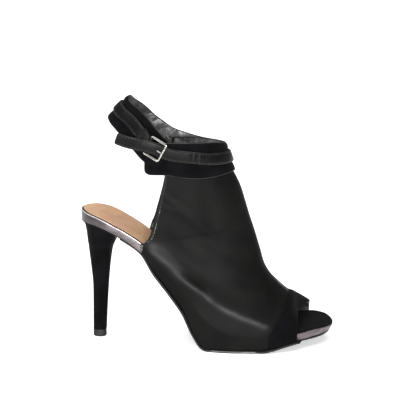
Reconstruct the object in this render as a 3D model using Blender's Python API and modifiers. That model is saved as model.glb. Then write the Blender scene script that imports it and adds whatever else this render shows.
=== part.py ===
"""High heel sandal, right shoe: peep toe, open heel, ankle cuff with a buckled belt, stiletto heel.

Metres, +Z up. The origin is the middle of the flat spot under the ball. +X points to the toe and
the lateral side of the foot is at -Y. Tables hold lengths as shares of the named sizes.
"""

import bmesh
import bpy
import numpy as np
from mathutils import Matrix, Vector

# Driving sizes
SHOE_LENGTH = 0.2122  # back of the seat to the tip of the toe, along the floor
SEAT_HEIGHT = 0.1122  # top of the footbed at the back of the seat
PLATFORM_HEIGHT = 0.0145  # top of the footbed under the ball
TOE_SPRING = 0.009  # how far the sole lifts at the tip of the toe
BALL_WIDTH = 0.076  # footbed across the ball
COLLAR_HEIGHT = 0.172  # top of the collar on the lateral side
ORIGIN_SHARE = 0.6206  # place of the origin along the shoe, from the back

FIT = 0.0007  # between a lining and the sole pieces inside it
GAP = 0.0003  # between pieces that lie on each other
HEM_GAP = 0.0008  # between the upper's lower edge and the outsole
BELT_GAP = 0.0005  # between the belt and the cuff, which bend differently
UPPER_WALL = 0.0016
BAND_WALL = 0.0012
CUFF_WALL = 0.0018
BELT_WALL = 0.0018
SOCK_WALL = 0.001
OUTSOLE_WALL = 0.0022
OUTSOLE_LIP = 0.0006  # how far the outsole stands out past the upper
SOLE_TUCK = 0.0018  # how far the sole's side leans in from footbed to floor
SOCK_INSET = 0.0016
NARROWEST = 0.0008  # half width that a layer keeps at its tips
OUTSOLE_SHARE = 0.8  # part of its wall that the outsole keeps on a slope
HEEL_BREAST = 0.168  # where the outsole starts, share of length
OUTSOLE_END = 0.9975
FOOTBED_END = 0.9998
PLATFORM_START, PLATFORM_END = 0.277, 0.785  # shares of length
SOCK_TIP = 0.0075  # bare footbed at the tips of the socks, share of length
COVER_START, COVER_FULL = 0.24, 0.30  # the upper starts to wrap the platform, shares of length
COVER_END, COVER_GONE = 0.865, 0.885  # and stops
BAND_START, BAND_FULL = 0.70, 0.745  # the toe band starts
EDGE_BREAK = 0.0006
SOCK_JOIN = 0.685  # where the tan insole meets the black one, share of length
SOLE_STATIONS = 46

CUFF_CORNER = 0.005
BELT_WIDTH = 0.0098
BELT_CORNER = 0.0015
BUCKLE_LENGTH = 0.0135
BUCKLE_HEIGHT = 0.0148
BUCKLE_CORNER = 0.0012
BUCKLE_ROD = 0.001  # radius
PRONG_ROD = 0.0007  # radius
PRONG_REACH = 0.0045  # visible part of the prong, up to the frame
PRONG_BEND = 0.0015
PRONG_TIP = 0.001
KEEPER_WIDTH = 0.0035
KEEPER_WALL = 0.0009
KEEPER_SLACK = 0.0006
KEEPER_ROW = 6  # row of the belt's grid that the keeper sits on
TIP_HEIGHT = 0.006

HALF_BALL = BALL_WIDTH / 2
SEAT_RISE = SEAT_HEIGHT - PLATFORM_HEIGHT


def table(columns, *rows):
    """Rows of numbers as a dictionary of arrays, one for each named column."""
    return dict(zip(columns.split(), np.array(rows, float).T))


# Outline of the footbed from above: half widths and centre line, as shares of half the ball width
PLAN = table(
    "along lateral medial centre",
    (0.000, 0.000, 0.000, 0.000),
    (0.060, 0.605, 0.605, 0.000),
    (0.130, 0.711, 0.711, 0.000),
    (0.256, 0.690, 0.670, 0.000),
    (0.338, 0.680, 0.580, -0.020),
    (0.409, 0.730, 0.570, -0.030),
    (0.479, 0.850, 0.620, -0.030),
    (0.550, 0.955, 0.740, -0.010),
    (0.621, 0.995, 0.875, 0.010),
    (0.715, 0.990, 0.940, 0.040),
    (0.809, 0.915, 0.850, 0.100),
    (0.863, 0.830, 0.750, 0.140),
    (0.927, 0.670, 0.610, 0.180),
    (0.965, 0.510, 0.470, 0.200),
    (1.000, 0.000, 0.000, 0.210),
)

# Side view of the footbed's top: rise as a share of the seat's rise, toe as a share of toe spring
BED = table(
    "along rise toe",
    (0.000, 1.000, 0.00),
    (0.046, 0.982, 0.00),
    (0.093, 0.951, 0.00),
    (0.140, 0.902, 0.00),
    (0.187, 0.845, 0.00),
    (0.256, 0.744, 0.00),
    (0.338, 0.552, 0.00),
    (0.409, 0.357, 0.00),
    (0.479, 0.182, 0.00),
    (0.550, 0.060, 0.00),
    (0.621, 0.008, 0.00),
    (0.691, 0.000, 0.00),
    (0.861, 0.000, 0.00),
    (0.930, 0.000, 0.20),
    (0.970, 0.000, 0.17),
    (1.000, 0.000, 0.00),
)

# Side view of the sole's underside: height as a share of the seat's height, toe as above
UNDER = table(
    "along height toe",
    (0.140, 0.839, 0.00),
    (0.187, 0.789, 0.00),
    (0.248, 0.701, 0.00),
    (0.297, 0.557, 0.00),
    (0.357, 0.404, 0.00),
    (0.409, 0.266, 0.00),
    (0.449, 0.112, 0.00),
    (0.489, 0.012, 0.00),
    (0.508, 0.000, 0.00),
    (0.715, 0.000, 0.00),
    (0.762, 0.000, 0.16),
    (0.809, 0.000, 0.44),
    (0.861, 0.000, 0.70),
    (0.930, 0.000, 0.86),
    (1.000, 0.000, 1.00),
)

# Height of the footbed's side, as a share of the platform's height
RAND = table(
    "along depth",
    (0.000, 0.640),
    (0.083, 0.480),
    (0.170, 0.450),
    (0.256, 0.540),
    (0.409, 0.520),
    (0.550, 0.430),
    (0.861, 0.440),
    (0.930, 0.420),
    (1.000, 0.300),
)

# Sections of the upper, from the peep toe back to the ankle and up to the collar. A section runs
# from its foot, over the front seam. foot and top are places along the shoe, lift is the foot's
# height over the footbed and rise the seam's height over the floor, both as shares of the collar's
# height. lateral and medial are the extra half widths at the foot and seam is the seam's place, as
# shares of half the ball width. wrap is 1 where the section goes on down round the platform, and
# full is its roundness.
UPPER = table(
    "foot lift top rise lateral medial seam wrap full",
    (0.857, 0.000, 0.877, 0.173, 0.000, 0.000, 0.14, 1, 2.3),
    (0.805, 0.000, 0.854, 0.205, 0.000, 0.000, 0.12, 1, 2.2),
    (0.750, 0.000, 0.826, 0.240, 0.000, 0.000, 0.10, 1, 2.1),
    (0.658, 0.000, 0.784, 0.290, 0.000, 0.000, 0.08, 1, 2.1),
    (0.564, 0.000, 0.750, 0.336, 0.000, 0.000, 0.06, 1, 2.1),
    (0.470, 0.000, 0.727, 0.386, 0.000, 0.000, 0.04, 1, 2.1),
    (0.376, 0.000, 0.708, 0.459, 0.000, 0.000, 0.03, 1, 2.1),
    (0.300, 0.000, 0.692, 0.529, 0.000, 0.000, 0.02, 1, 2.1),
    (0.251, 0.000, 0.679, 0.580, 0.000, 0.000, 0.01, 1, 2.2),
    (0.282, 0.061, 0.670, 0.613, 0.000, 0.005, 0.00, 0, 2.2),
    (0.305, 0.176, 0.649, 0.698, 0.012, 0.042, 0.00, 0, 2.2),
    (0.326, 0.306, 0.628, 0.779, 0.022, 0.080, 0.00, 0, 2.2),
    (0.348, 0.461, 0.592, 0.866, 0.037, 0.123, 0.00, 0, 2.2),
    (0.357, 0.550, 0.572, 0.930, 0.053, 0.150, 0.00, 0, 2.2),
    (0.364, 0.632, 0.559, 0.990, 0.053, 0.168, 0.00, 0, 2.2),
    (0.367, 0.700, 0.547, 1.060, 0.053, 0.168, 0.00, 0, 2.2),
)
BAND_ROW = 2.0  # the toe band ends at this row of the table
COLLAR_ROW = 13.85  # and the upper at this one
MEDIAL_SET_BACK = 0.016  # rear edge of the medial quarter behind the lateral one, share of length
COLLAR_DIP = 0.030  # the medial collar is lower, share of the collar's height
TOE_SKEW = 0.047  # the peep toe's medial foot is ahead of the lateral one, share of length
SWEEP_START, SWEEP_END = -0.30, 0.66  # where its edge runs forwards, in half ball widths

# Heel from the tip to the seat: back, middle, front along the shoe, half width as a share of half
# the ball width, height as a share of the seat's height, seat is 1 where the row follows the seat
HEEL = table(
    "back middle front half height seat",
    (0.0370, 0.0630, 0.0890, 0.142, 0.000, 0.00),
    (0.0378, 0.0650, 0.0925, 0.145, 0.125, 0.00),
    (0.0392, 0.0700, 0.1015, 0.162, 0.383, 0.00),
    (0.0338, 0.0710, 0.1085, 0.195, 0.535, 0.00),
    (0.0290, 0.0715, 0.1140, 0.252, 0.624, 0.00),
    (0.0257, 0.0715, 0.1205, 0.330, 0.695, 0.00),
    (0.0230, 0.0760, 0.1325, 0.435, 0.749, 0.00),
    (0.0180, 0.0900, 0.1460, 0.545, 0.790, 0.40),
    (0.0115, 0.1080, 0.1570, 0.630, 0.838, 0.75),
    (0.0045, 0.1270, 0.1650, 0.690, 0.850, 1.00),
)

# Free ends of the cuff: low and high edge, along the shoe, across in half ball widths, and up in
# collar heights
WING = table(
    "low low_y low_z high high_y high_z",
    (0.272, -0.855, 0.856, 0.272, -0.855, 1.008),
    (0.310, -0.850, 0.855, 0.310, -0.850, 1.010),
)
BACK_WING = table(
    "low low_y low_z high high_y high_z",
    (0.272, 0.803, 0.933, 0.310, 0.780, 1.058),
    (0.215, 0.740, 0.983, 0.279, 0.737, 1.089),
    (0.161, 0.566, 1.040, 0.241, 0.579, 1.142),
    (0.126, 0.290, 1.083, 0.213, 0.290, 1.179),
    (0.115, 0.000, 1.097, 0.205, 0.000, 1.201),
    (0.124, -0.270, 1.084, 0.211, -0.270, 1.183),
    (0.161, -0.592, 1.050, 0.248, -0.500, 1.154),
    (0.220, -0.735, 0.977, 0.298, -0.690, 1.099),
    (0.267, -0.740, 0.913, 0.347, -0.700, 1.029),
    (0.319, -0.700, 0.872, 0.385, -0.685, 0.980),
)
# The part of the cuff that lies on the upper: place across the section (-1 lateral rear edge,
# 0 seam, 1 medial rear edge) and the heights of its edges in collar heights
CUFF_ON_UPPER = table(
    "across low high",
    (-0.97, 0.853, 1.012),
    (-0.60, 0.835, 1.010),
    (-0.30, 0.842, 1.001),
    (0.00, 0.846, 0.984),
    (0.30, 0.833, 0.979),
    (0.60, 0.834, 0.985),
    (0.97, 0.880, 1.020),
)
# Route of the belt on the cuff: share of the cuff's run and of its width
BELT_ON_CUFF = table(
    "run across",
    (0.850, 0.55),
    (0.780, 0.52),
    (0.700, 0.50),
    (0.600, 0.50),
    (0.500, 0.50),
    (0.420, 0.50),
    (0.340, 0.52),
    (0.270, 0.50),
    (0.200, 0.52),
    (0.150, 0.58),
)
# Free stretches of the belt's middle line, in the same shares as the wings
BELT_START = table(
    "along y z",
    (0.2830, -0.945, 1.0220),
    (0.2720, -0.925, 1.0400),
    (0.2540, -0.880, 1.0640),
)
BELT_END = table(
    "along y z",
    (0.3660, -0.942, 0.9600),
    (0.3440, -0.971, 0.9700),
    (0.3150, -1.008, 0.9880),
    (0.2830, -1.026, 1.0010),
    (0.2430, -1.005, 1.0085),
    (0.2060, -0.968, 1.0170),
    (0.1680, -0.934, 1.0320),
)
BUCKLE_BAR = (0.2893, -0.985, 1.0052)  # middle of the bar that the belt is fixed to
BUCKLE_FRONT = (0.3440, -1.062, 0.9680)  # middle of the opposite side


def spans(knots, x):
    """Index of the span that holds each x, its width and the share run through."""
    knots = np.asarray(knots, float)
    x = np.clip(x, knots[0], knots[-1])
    i = np.clip(np.searchsorted(knots, x, side="right") - 1, 0, len(knots) - 2)
    width = np.diff(knots)
    return i, width, (x - knots[i]) / width[i]


def smooth(knots, values, x):
    """Cubic through the knots that never overshoots them."""
    i, width, t = spans(knots, x)
    slope = np.diff(values) / width
    tangent = np.zeros(len(values))
    same = slope[:-1] * slope[1:] > 0
    first = 2 * width[1:] + width[:-1]
    second = width[1:] + 2 * width[:-1]
    inside = np.where(same, slope[:-1] * slope[1:], 1.0)
    weighted = first * slope[1:] + second * slope[:-1] + 1e-30
    tangent[1:-1] = np.where(same, (first + second) * inside / weighted, 0)
    tangent[0], tangent[-1] = slope[0], slope[-1]
    left = (1 + 2 * t) * (1 - t) ** 2 * values[i] + t * (1 - t) ** 2 * width[i] * tangent[i]
    right = t**2 * (3 - 2 * t) * values[i + 1] - t**2 * (1 - t) * width[i] * tangent[i + 1]
    return left + right


def flow(knots, values, x):
    """Natural cubic spline through the knots, for one or more columns of values."""
    knots = np.asarray(knots, float)
    values = np.asarray(values, float)
    i, width, t = spans(knots, x)
    count = len(knots)
    system = np.eye(count)
    right = np.zeros_like(values)
    for k in range(1, count - 1):
        system[k, k - 1 : k + 2] = width[k - 1], 2 * (width[k - 1] + width[k]), width[k]
        right[k] = 6 * ((values[k + 1] - values[k]) / width[k] - (values[k] - values[k - 1]) / width[k - 1])
    bend = np.linalg.solve(system, right.reshape(count, -1)).reshape(values.shape)
    shape = (-1,) + (1,) * (values.ndim - 1)
    t = np.reshape(t, shape)
    w = np.reshape(width[i], shape)
    return (
        (1 - t) * values[i]
        + t * values[i + 1]
        + w**2 / 6 * (((1 - t) ** 3 - (1 - t)) * bend[i] + (t**3 - t) * bend[i + 1])
    )


def to_x(along):
    return (np.asarray(along) - ORIGIN_SHARE) * SHOE_LENGTH


def to_share(x):
    return np.asarray(x) / SHOE_LENGTH + ORIGIN_SHARE


def ease(share, start, end):
    """0 before start, 1 after end, smooth between."""
    t = np.clip((share - start) / (end - start), 0, 1)
    return t * t * (3 - 2 * t)


def bed_height(along):
    rise = smooth(BED["along"], BED["rise"], along)
    toe = smooth(BED["along"], BED["toe"], along)
    return PLATFORM_HEIGHT + rise * SEAT_RISE + toe * TOE_SPRING


def under_height(along):
    height = smooth(UNDER["along"], UNDER["height"], along)
    toe = smooth(UNDER["along"], UNDER["toe"], along)
    return height * SEAT_HEIGHT + toe * TOE_SPRING


def rand_height(along):
    """Underside of the footbed."""
    return bed_height(along) - smooth(RAND["along"], RAND["depth"], along) * PLATFORM_HEIGHT


def steepness(height, along):
    """Vertical thickness of a layer for each unit of its real thickness."""
    step = 0.004
    slope = (height(along + step) - height(along - step)) / (2 * step * SHOE_LENGTH)
    return np.sqrt(1 + np.minimum(slope**2, 5))


def bed_gap(along):
    """Gap between layers, measured upright, that leaves GAP across a slope."""
    return GAP * steepness(bed_height, along)


def outsole_top(along):
    full = under_height(along) + OUTSOLE_WALL * OUTSOLE_SHARE * steepness(under_height, along)
    return np.minimum(full, rand_height(along) - bed_gap(along))


def centre_line(along):
    return smooth(PLAN["along"], PLAN["centre"], along) * HALF_BALL


def half_width(along, side):
    """Half width of the footbed; its square is interpolated, which rounds the seat and the toe."""
    return np.sqrt(np.maximum(smooth(PLAN["along"], PLAN[side] ** 2, along), 0)) * HALF_BALL


def tuck(along, height):
    """How far the side leans in at a height."""
    depth = bed_height(along) - height
    share = np.clip(depth / np.maximum(bed_height(along) - under_height(along), 1e-4), 0, 1)
    return SOLE_TUCK * ease(along, 0.26, 0.45) * share


def stations(start, end):
    """Places along the shoe that all layers of the sole share, closer together towards the ends."""
    shared = (1 - np.cos(np.linspace(0, np.pi, SOLE_STATIONS))) / 2
    inside = shared[(shared > start + 0.004) & (shared < end - 0.004)]
    tips = [end] if end < 0.9 else [end - 0.002, end]
    return np.concatenate([[start], inside, tips])


def material(name, rgb, roughness, metallic=0.0):
    made = bpy.data.materials.new(name)
    made.use_nodes = True
    shader = made.node_tree.nodes["Principled BSDF"]
    shader.inputs["Base Color"].default_value = (*rgb, 1)
    shader.inputs["Roughness"].default_value = roughness
    shader.inputs["Metallic"].default_value = metallic
    made.diffuse_color = (*rgb, 1)
    return made


def add_object(name, mesh, look, parts, angle=35):
    mesh.materials.append(look)
    mesh.shade_smooth()
    mesh.set_sharp_from_angle(angle=np.radians(angle))
    made = bpy.data.objects.new(name, mesh)
    parts.objects.link(made)
    return made


def face_outward(bm):
    bmesh.ops.recalc_face_normals(bm, faces=bm.faces)
    if bm.calc_volume(signed=True) < 0:
        bmesh.ops.reverse_faces(bm, faces=bm.faces)


def loft(name, rings):
    """Closed mesh through rings of points, with a flat face over each end."""
    bm = bmesh.new()
    rows = [[bm.verts.new(point) for point in ring] for ring in rings]
    count = len(rows[0])
    for row, after in zip(rows, rows[1:]):
        for k in range(count):
            bm.faces.new((row[k], row[(k + 1) % count], after[(k + 1) % count], after[k]))
    bm.faces.new(rows[0])
    bm.faces.new(rows[-1])
    face_outward(bm)
    mesh = bpy.data.meshes.new(name)
    bm.to_mesh(mesh)
    bm.free()
    return mesh


def sheet(name, grid):
    """Open mesh on a grid of points, its faces pointing along the grid's normals."""
    columns, rows = grid.shape[:2]
    faces = [
        (c * rows + r, (c + 1) * rows + r, (c + 1) * rows + r + 1, c * rows + r + 1)
        for c in range(columns - 1)
        for r in range(rows - 1)
    ]
    mesh = bpy.data.meshes.new(name)
    mesh.from_pydata([tuple(point) for point in grid.reshape(-1, 3)], [], faces)
    return mesh


def thicken(made, wall, offset):
    solidify = made.modifiers.new("wall", "SOLIDIFY")
    solidify.thickness = wall
    solidify.offset = offset
    solidify.use_even_offset = False


def normals(grid):
    """Unit normals of a grid of points."""
    across = np.cross(np.gradient(grid, axis=0), np.gradient(grid, axis=1))
    return across / np.linalg.norm(across, axis=2, keepdims=True)


def slab(name, start, end, top, bottom, inset, stretch=1.0):
    """A layer of the sole between two heights, with its sides on the footbed's outline.

    Where stretch is over 1 the outline is shortened to it, so the layer has rounded tips of its own.
    """
    rings = []
    for along in stations(start, end):
        high, low = top(along), bottom(along)
        middle = centre_line(along)
        edge = min(EDGE_BREAK, (high - low) / 4)
        widths = {}
        for side in ("lateral", "medial"):
            for key, height in (("high", high), ("low", low)):
                full = half_width(0.5 + (along - 0.5) * stretch, side)
                widths[side, key] = max(full - tuck(along, height) - inset(along, side), NARROWEST)
        broken = {key: min(edge, value * 0.4) for key, value in widths.items()}
        ring = []
        for side, sign in (("lateral", -1), ("medial", 1)):
            wide_low, wide_high = widths[side, "low"], widths[side, "high"]
            corner = [
                (middle + sign * (wide_low - broken[side, "low"]), low),
                (middle + sign * wide_low, low + edge),
                (middle + sign * wide_high, high - edge),
                (middle + sign * (wide_high - broken[side, "high"]), high),
            ]
            ring += corner if sign < 0 else corner[::-1]
        rings.append([(float(to_x(along)), float(y), float(z)) for y, z in ring])
    return loft(name, rings)


def shell_inset(along, side):
    """The outsole follows the upper's outside where the upper wraps the platform."""
    skew = TOE_SKEW if side == "medial" else 0
    open_toe = ease(along, COVER_END + skew, COVER_GONE + skew)
    covered = ease(along, COVER_START, COVER_FULL) * (1 - open_toe)
    banded = ease(along, BAND_START, BAND_FULL) * (1 - open_toe)
    out = (FIT + UPPER_WALL + OUTSOLE_LIP) * covered + (BAND_WALL + GAP) * banded
    return EDGE_BREAK * (1 - covered) - out


def add_sole(parts, looks):
    def flush(along, side):
        return 0.0

    def sock_inset(along, side):
        return SOCK_INSET * ease(along, 0, 0.1) * ease(along, 1, 0.9)

    def platform_top(along):
        return rand_height(along) - bed_gap(along)

    def platform_under(along):
        return outsole_top(along) + GAP * steepness(under_height, along)

    def sock_under(along):
        return bed_height(along) + bed_gap(along)

    def sock_top(along):
        return sock_under(along) + SOCK_WALL

    shorter = 0.5 / (0.5 - SOCK_TIP)
    toe_start = SOCK_JOIN + GAP / SHOE_LENGTH
    layers = (
        ("outsole", HEEL_BREAST, OUTSOLE_END, outsole_top, under_height, shell_inset, 1, "rubber"),
        ("platform", PLATFORM_START, PLATFORM_END, platform_top, platform_under, flush, 1, "suede"),
        ("footbed", 1 - FOOTBED_END, FOOTBED_END, bed_height, rand_height, flush, 1, "pewter"),
        ("heel_sock", SOCK_TIP, SOCK_JOIN, sock_top, sock_under, sock_inset, shorter, "tan"),
        ("toe_sock", toe_start, 1 - SOCK_TIP, sock_top, sock_under, sock_inset, shorter, "suede"),
    )
    for name, start, end, top, under, inset, stretch, look in layers:
        add_object(name, slab(name, start, end, top, under, inset, stretch), looks[look], parts)


def upper_point_rows(u, side, count, hem, fine=80):
    """One half section of the upper's outside, from its lower edge to the seam."""
    index = np.arange(len(UPPER["foot"]))
    row = {key: float(smooth(index, UPPER[key], u)) for key in UPPER}
    medial = side == "medial"
    behind = 1 - row["wrap"]
    toe = 1 - ease(u, 0, BAND_ROW)
    skew = TOE_SKEW if medial else 0
    foot = row["foot"] + skew * toe - (MEDIAL_SET_BACK * behind if medial else 0)
    dip = COLLAR_DIP * ease(u, 10, 14) if medial else 0
    lift = row["lift"] - dip
    sign = 1 if medial else -1
    cover = FIT + UPPER_WALL
    width = half_width(foot, side) + cover + row[side] * HALF_BALL
    middle = centre_line(foot)
    bed = bed_height(foot)
    base = np.array([to_x(foot), middle + sign * width, bed + lift * COLLAR_HEIGHT])
    heart = np.array([base[0], middle, base[2]])
    top = np.array([to_x(row["top"]), row["seam"] * HALF_BALL, row["rise"] * COLLAR_HEIGHT])
    angle = np.linspace(0, np.pi / 2, fine)[:, None]
    power = 2 / row["full"]
    arch = heart + (top - heart) * np.sin(angle) ** power + (base - heart) * np.cos(angle) ** power
    plain = skew + (UPPER["top"][0] - UPPER["foot"][0] - skew) * np.sin(angle[:, 0]) ** power
    swept = TOE_SKEW * ease(arch[:, 1] / HALF_BALL, SWEEP_START, SWEEP_END)
    arch[:, 0] += (swept - plain) * toe * SHOE_LENGTH
    low = outsole_top(foot) + hem * steepness(under_height, foot)
    down = max(float(bed - low), 0.0) * row["wrap"]
    lean = float(tuck(foot, low)) * row["wrap"]
    drop = np.linspace(1, 0, 12)[:-1, None]
    strip = base + drop * np.array([0, -sign * lean, -down])
    line = np.vstack([strip, arch]) if down > 1e-4 else arch
    run = np.concatenate([[0], np.cumsum(np.linalg.norm(np.diff(line, axis=0), axis=1))])
    even = np.linspace(0, run[-1], count)
    return np.stack([np.interp(even, run, line[:, axis]) for axis in range(3)], axis=1)


def upper_grid(rows, count, hem=HEM_GAP):
    """Grid of points on the upper's outside: sections by points, medial edge to lateral edge."""
    grid = []
    for u in rows:
        lateral = upper_point_rows(u, "lateral", count, hem)
        medial = upper_point_rows(u, "medial", count, hem)
        grid.append(np.vstack([medial, lateral[-2::-1]]))
    return np.array(grid)


def add_upper(parts, looks):
    leather = upper_grid(np.linspace(0, COLLAR_ROW, 35), 16)
    upper = add_object("upper", sheet("upper", leather), looks["leather"], parts, 60)
    thicken(upper, UPPER_WALL, -1)
    fine = upper_grid(np.linspace(0, BAND_ROW, 6), 16, 2 * HEM_GAP)
    band = fine + normals(fine) * GAP
    toe_band = add_object("toe_band", sheet("toe_band", band), looks["suede"], parts, 60)
    thicken(toe_band, BAND_WALL, 1)


def run_length(line):
    return np.concatenate([[0], np.cumsum(np.linalg.norm(np.diff(line, axis=0), axis=1))])


def free_rows(rows, across):
    """Stations of a wing, each with points from its low to its high edge."""
    edges = []
    for edge in ("low", "high"):
        y, z = rows[edge + "_y"] * HALF_BALL, rows[edge + "_z"] * COLLAR_HEIGHT
        edges.append(np.stack([to_x(rows[edge]), y, z], axis=1))
    low, high = edges
    return low[:, None] + (high - low)[:, None] * across[None, :, None]


def rows_on_upper(across):
    """Stations of the cuff on the upper's outside, at the table's heights."""
    u = np.linspace(11.5, len(UPPER["foot"]) - 1, 24)
    count = 25
    grid = upper_grid(u, count)
    lifted = grid + normals(grid) * GAP
    places = np.linspace(-0.97, 0.97, 15)
    low = flow(CUFF_ON_UPPER["across"], CUFF_ON_UPPER["low"], places) * COLLAR_HEIGHT
    high = flow(CUFF_ON_UPPER["across"], CUFF_ON_UPPER["high"], places) * COLLAR_HEIGHT
    made = []
    for place, start, end in zip(places, low, high):
        column = (1 - place) * (count - 1)
        left = int(min(column, 2 * count - 3))
        part = column - left
        line = lifted[:, left] * (1 - part) + lifted[:, left + 1] * part
        heights = start + (end - start) * across
        made.append(np.stack([np.interp(heights, line[:, 2], line[:, axis]) for axis in range(3)], axis=1))
    return np.array(made)


def rounded_ends(run, length, width, corner):
    """Share of the width that is left at each place of a strap with rounded ends."""
    reach = np.clip(np.minimum(run, length - run), 0, corner)
    cut = corner - np.sqrt(np.maximum(corner**2 - (corner - reach) ** 2, 0))
    return 1 - 2 * cut / width


def strap_places(length, corner, count):
    """Places along a strap, close together in its rounded ends."""
    end = corner * np.array([0.0, 0.06, 0.25, 0.6])
    return np.concatenate([end, np.linspace(corner, length - corner, count), length - end[::-1]])


def cuff_grid():
    """Inner face of the cuff: stations along by points across."""
    across = np.linspace(0, 1, 5)
    rows = np.concatenate([free_rows(WING, across), rows_on_upper(across), free_rows(BACK_WING, across)])
    run = run_length(rows[:, 2])
    places = strap_places(run[-1], CUFF_CORNER, 64)
    even = flow(run, rows, places)
    width = np.linalg.norm(even[:, -1] - even[:, 0], axis=1)
    left = rounded_ends(places, run[-1], width, CUFF_CORNER)
    share = 0.5 + (across[None] - 0.5) * left[:, None]
    trimmed = np.empty_like(even)
    for k, wanted in enumerate(share):
        for axis in range(3):
            trimmed[k, :, axis] = np.interp(wanted, across, even[k, :, axis])
    return even, trimmed


def add_cuff(parts, looks):
    whole, trimmed = cuff_grid()
    cuff = add_object("cuff", sheet("cuff", trimmed), looks["suede"], parts, 60)
    thicken(cuff, CUFF_WALL, 1)
    return whole


def free_line(rows):
    return np.stack([to_x(rows["along"]), rows["y"] * HALF_BALL, rows["z"] * COLLAR_HEIGHT], axis=1)


def belt_line(cuff):
    """Middle line of the belt's inner face, with the outward normal at each of its points."""
    outward = normals(cuff)
    run = run_length(cuff[:, 2])
    points, faces = [], []
    shares = np.linspace(BELT_ON_CUFF["run"][0], BELT_ON_CUFF["run"][-1], 48)
    places = flow(-BELT_ON_CUFF["run"], BELT_ON_CUFF["across"], -shares)
    for share, across in zip(shares, places):
        at = share * run[-1]
        line = np.stack([np.interp(at, run, cuff[:, 2, axis]) for axis in range(3)])
        low = np.stack([np.interp(at, run, cuff[:, 0, axis]) for axis in range(3)])
        high = np.stack([np.interp(at, run, cuff[:, -1, axis]) for axis in range(3)])
        face = np.stack([np.interp(at, run, outward[:, 2, axis]) for axis in range(3)])
        face /= np.linalg.norm(face)
        points.append(line + (high - low) * (across - 0.5) + face * (CUFF_WALL + BELT_GAP))
        faces.append(face)
    side = np.array([0.0, -1.0, 0.0])
    start, end = free_line(BELT_START), free_line(BELT_END)
    points = np.vstack([start, points, end])
    faces = np.vstack([[side] * len(start), faces, [side] * len(end)])
    return points, faces


def belt_grid(cuff):
    points, faces = belt_line(cuff)
    run = run_length(points)
    places = strap_places(run[-1], BELT_CORNER, 84)
    line = flow(run, points, places)
    outward = flow(run, faces, places)
    tangent = np.gradient(line, places, axis=0)
    tangent /= np.linalg.norm(tangent, axis=1, keepdims=True)
    rise = np.cross(outward, tangent)
    rise /= np.linalg.norm(rise, axis=1, keepdims=True)
    left = rounded_ends(places, run[-1], BELT_WIDTH, BELT_CORNER)
    across = np.linspace(-0.5, 0.5, 3)
    return line[:, None] + rise[:, None] * (across[None, :] * left[:, None] * BELT_WIDTH)[:, :, None]


def add_belt(parts, looks, cuff):
    grid = belt_grid(cuff)
    belt = add_object("belt", sheet("belt", grid), looks["leather"], parts, 60)
    thicken(belt, BELT_WALL, 1)
    return grid


def rod(name, points, radius, look, parts, cyclic=False):
    """A round rod along points, with closed ends."""
    curve = bpy.data.curves.new(name, "CURVE")
    curve.dimensions = "3D"
    curve.bevel_depth = radius
    curve.bevel_resolution = 2
    curve.use_fill_caps = not cyclic
    line = curve.splines.new("POLY")
    line.points.add(len(points) - 1)
    for knot, point in zip(line.points, points):
        knot.co = (*point, 1)
    line.use_cyclic_u = cyclic
    curve.materials.append(look)
    made = bpy.data.objects.new(name, curve)
    parts.objects.link(made)
    return made


def buckle_axes():
    """Middle of the bar, middle of the front side, and the directions along and across the belt."""
    def place(share):
        return np.array([to_x(share[0]), share[1] * HALF_BALL, share[2] * COLLAR_HEIGHT])

    bar, front = place(BUCKLE_BAR), place(BUCKLE_FRONT)
    forward = front - bar
    forward /= np.linalg.norm(forward)
    front = bar + forward * BUCKLE_LENGTH
    across = np.cross(forward, [0, -1, 0])
    across /= np.linalg.norm(across)
    return bar, front, forward, across


def add_buckle(parts, looks):
    bar, front, forward, across = buckle_axes()
    half = BUCKLE_HEIGHT / 2
    loop = []
    for middle, sign in ((bar, -1), (front, 1)):
        for up in (sign, -sign):
            tip = middle + across * half * up
            cut = [tip - forward * sign * BUCKLE_CORNER, tip - across * up * BUCKLE_CORNER]
            loop += cut if up == sign else cut[::-1]
    rod("buckle_frame", loop, BUCKLE_ROD, looks["nickel"], parts, cyclic=True)
    outward = np.cross(across, forward)
    outward *= -np.sign(outward[1])
    over = outward * (BUCKLE_ROD + PRONG_ROD + GAP)
    start = front - forward * PRONG_REACH + outward * (BUCKLE_ROD + PRONG_ROD)
    prong = [start, front - forward * PRONG_BEND + over, front + over, front + forward * PRONG_TIP + over]
    rod("buckle_prong", prong, PRONG_ROD, looks["nickel"], parts)


def add_keeper(parts, looks, belt):
    """A flat loop round the belt, just behind the buckle."""
    middle = belt[KEEPER_ROW, 1]
    tangent = belt[KEEPER_ROW + 1, 1] - belt[KEEPER_ROW - 1, 1]
    rise = belt[KEEPER_ROW, -1] - belt[KEEPER_ROW, 0]
    tangent /= np.linalg.norm(tangent)
    rise /= np.linalg.norm(rise)
    outward = np.cross(tangent, rise)
    outward *= -np.sign(outward[1])
    middle = middle + outward * BELT_WALL / 2
    turn = Matrix([Vector(tangent), Vector(rise), Vector(outward)]).transposed().to_4x4()
    bm = bmesh.new()
    inner = (BELT_WIDTH / 2 + KEEPER_SLACK, BELT_WALL / 2 + KEEPER_SLACK)
    outer = (inner[0] + KEEPER_WALL, inner[1] + KEEPER_WALL)
    corners = ((-1, -1), (1, -1), (1, 1), (-1, 1))
    rings = []
    for wide, high in (outer, inner):
        for x in (-KEEPER_WIDTH / 2, KEEPER_WIDTH / 2):
            rings.append([bm.verts.new((x, wide * a, high * b)) for a, b in corners])
    order = (0, 1, 3, 2, 0)
    for left, right in zip(order, order[1:]):
        for k in range(4):
            after = (k + 1) % 4
            bm.faces.new((rings[left][k], rings[left][after], rings[right][after], rings[right][k]))
    bmesh.ops.transform(bm, matrix=Matrix.Translation(middle) @ turn, verts=bm.verts)
    face_outward(bm)
    mesh = bpy.data.meshes.new("belt_keeper")
    bm.to_mesh(mesh)
    bm.free()
    add_object("belt_keeper", mesh, looks["leather"], parts)


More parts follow.
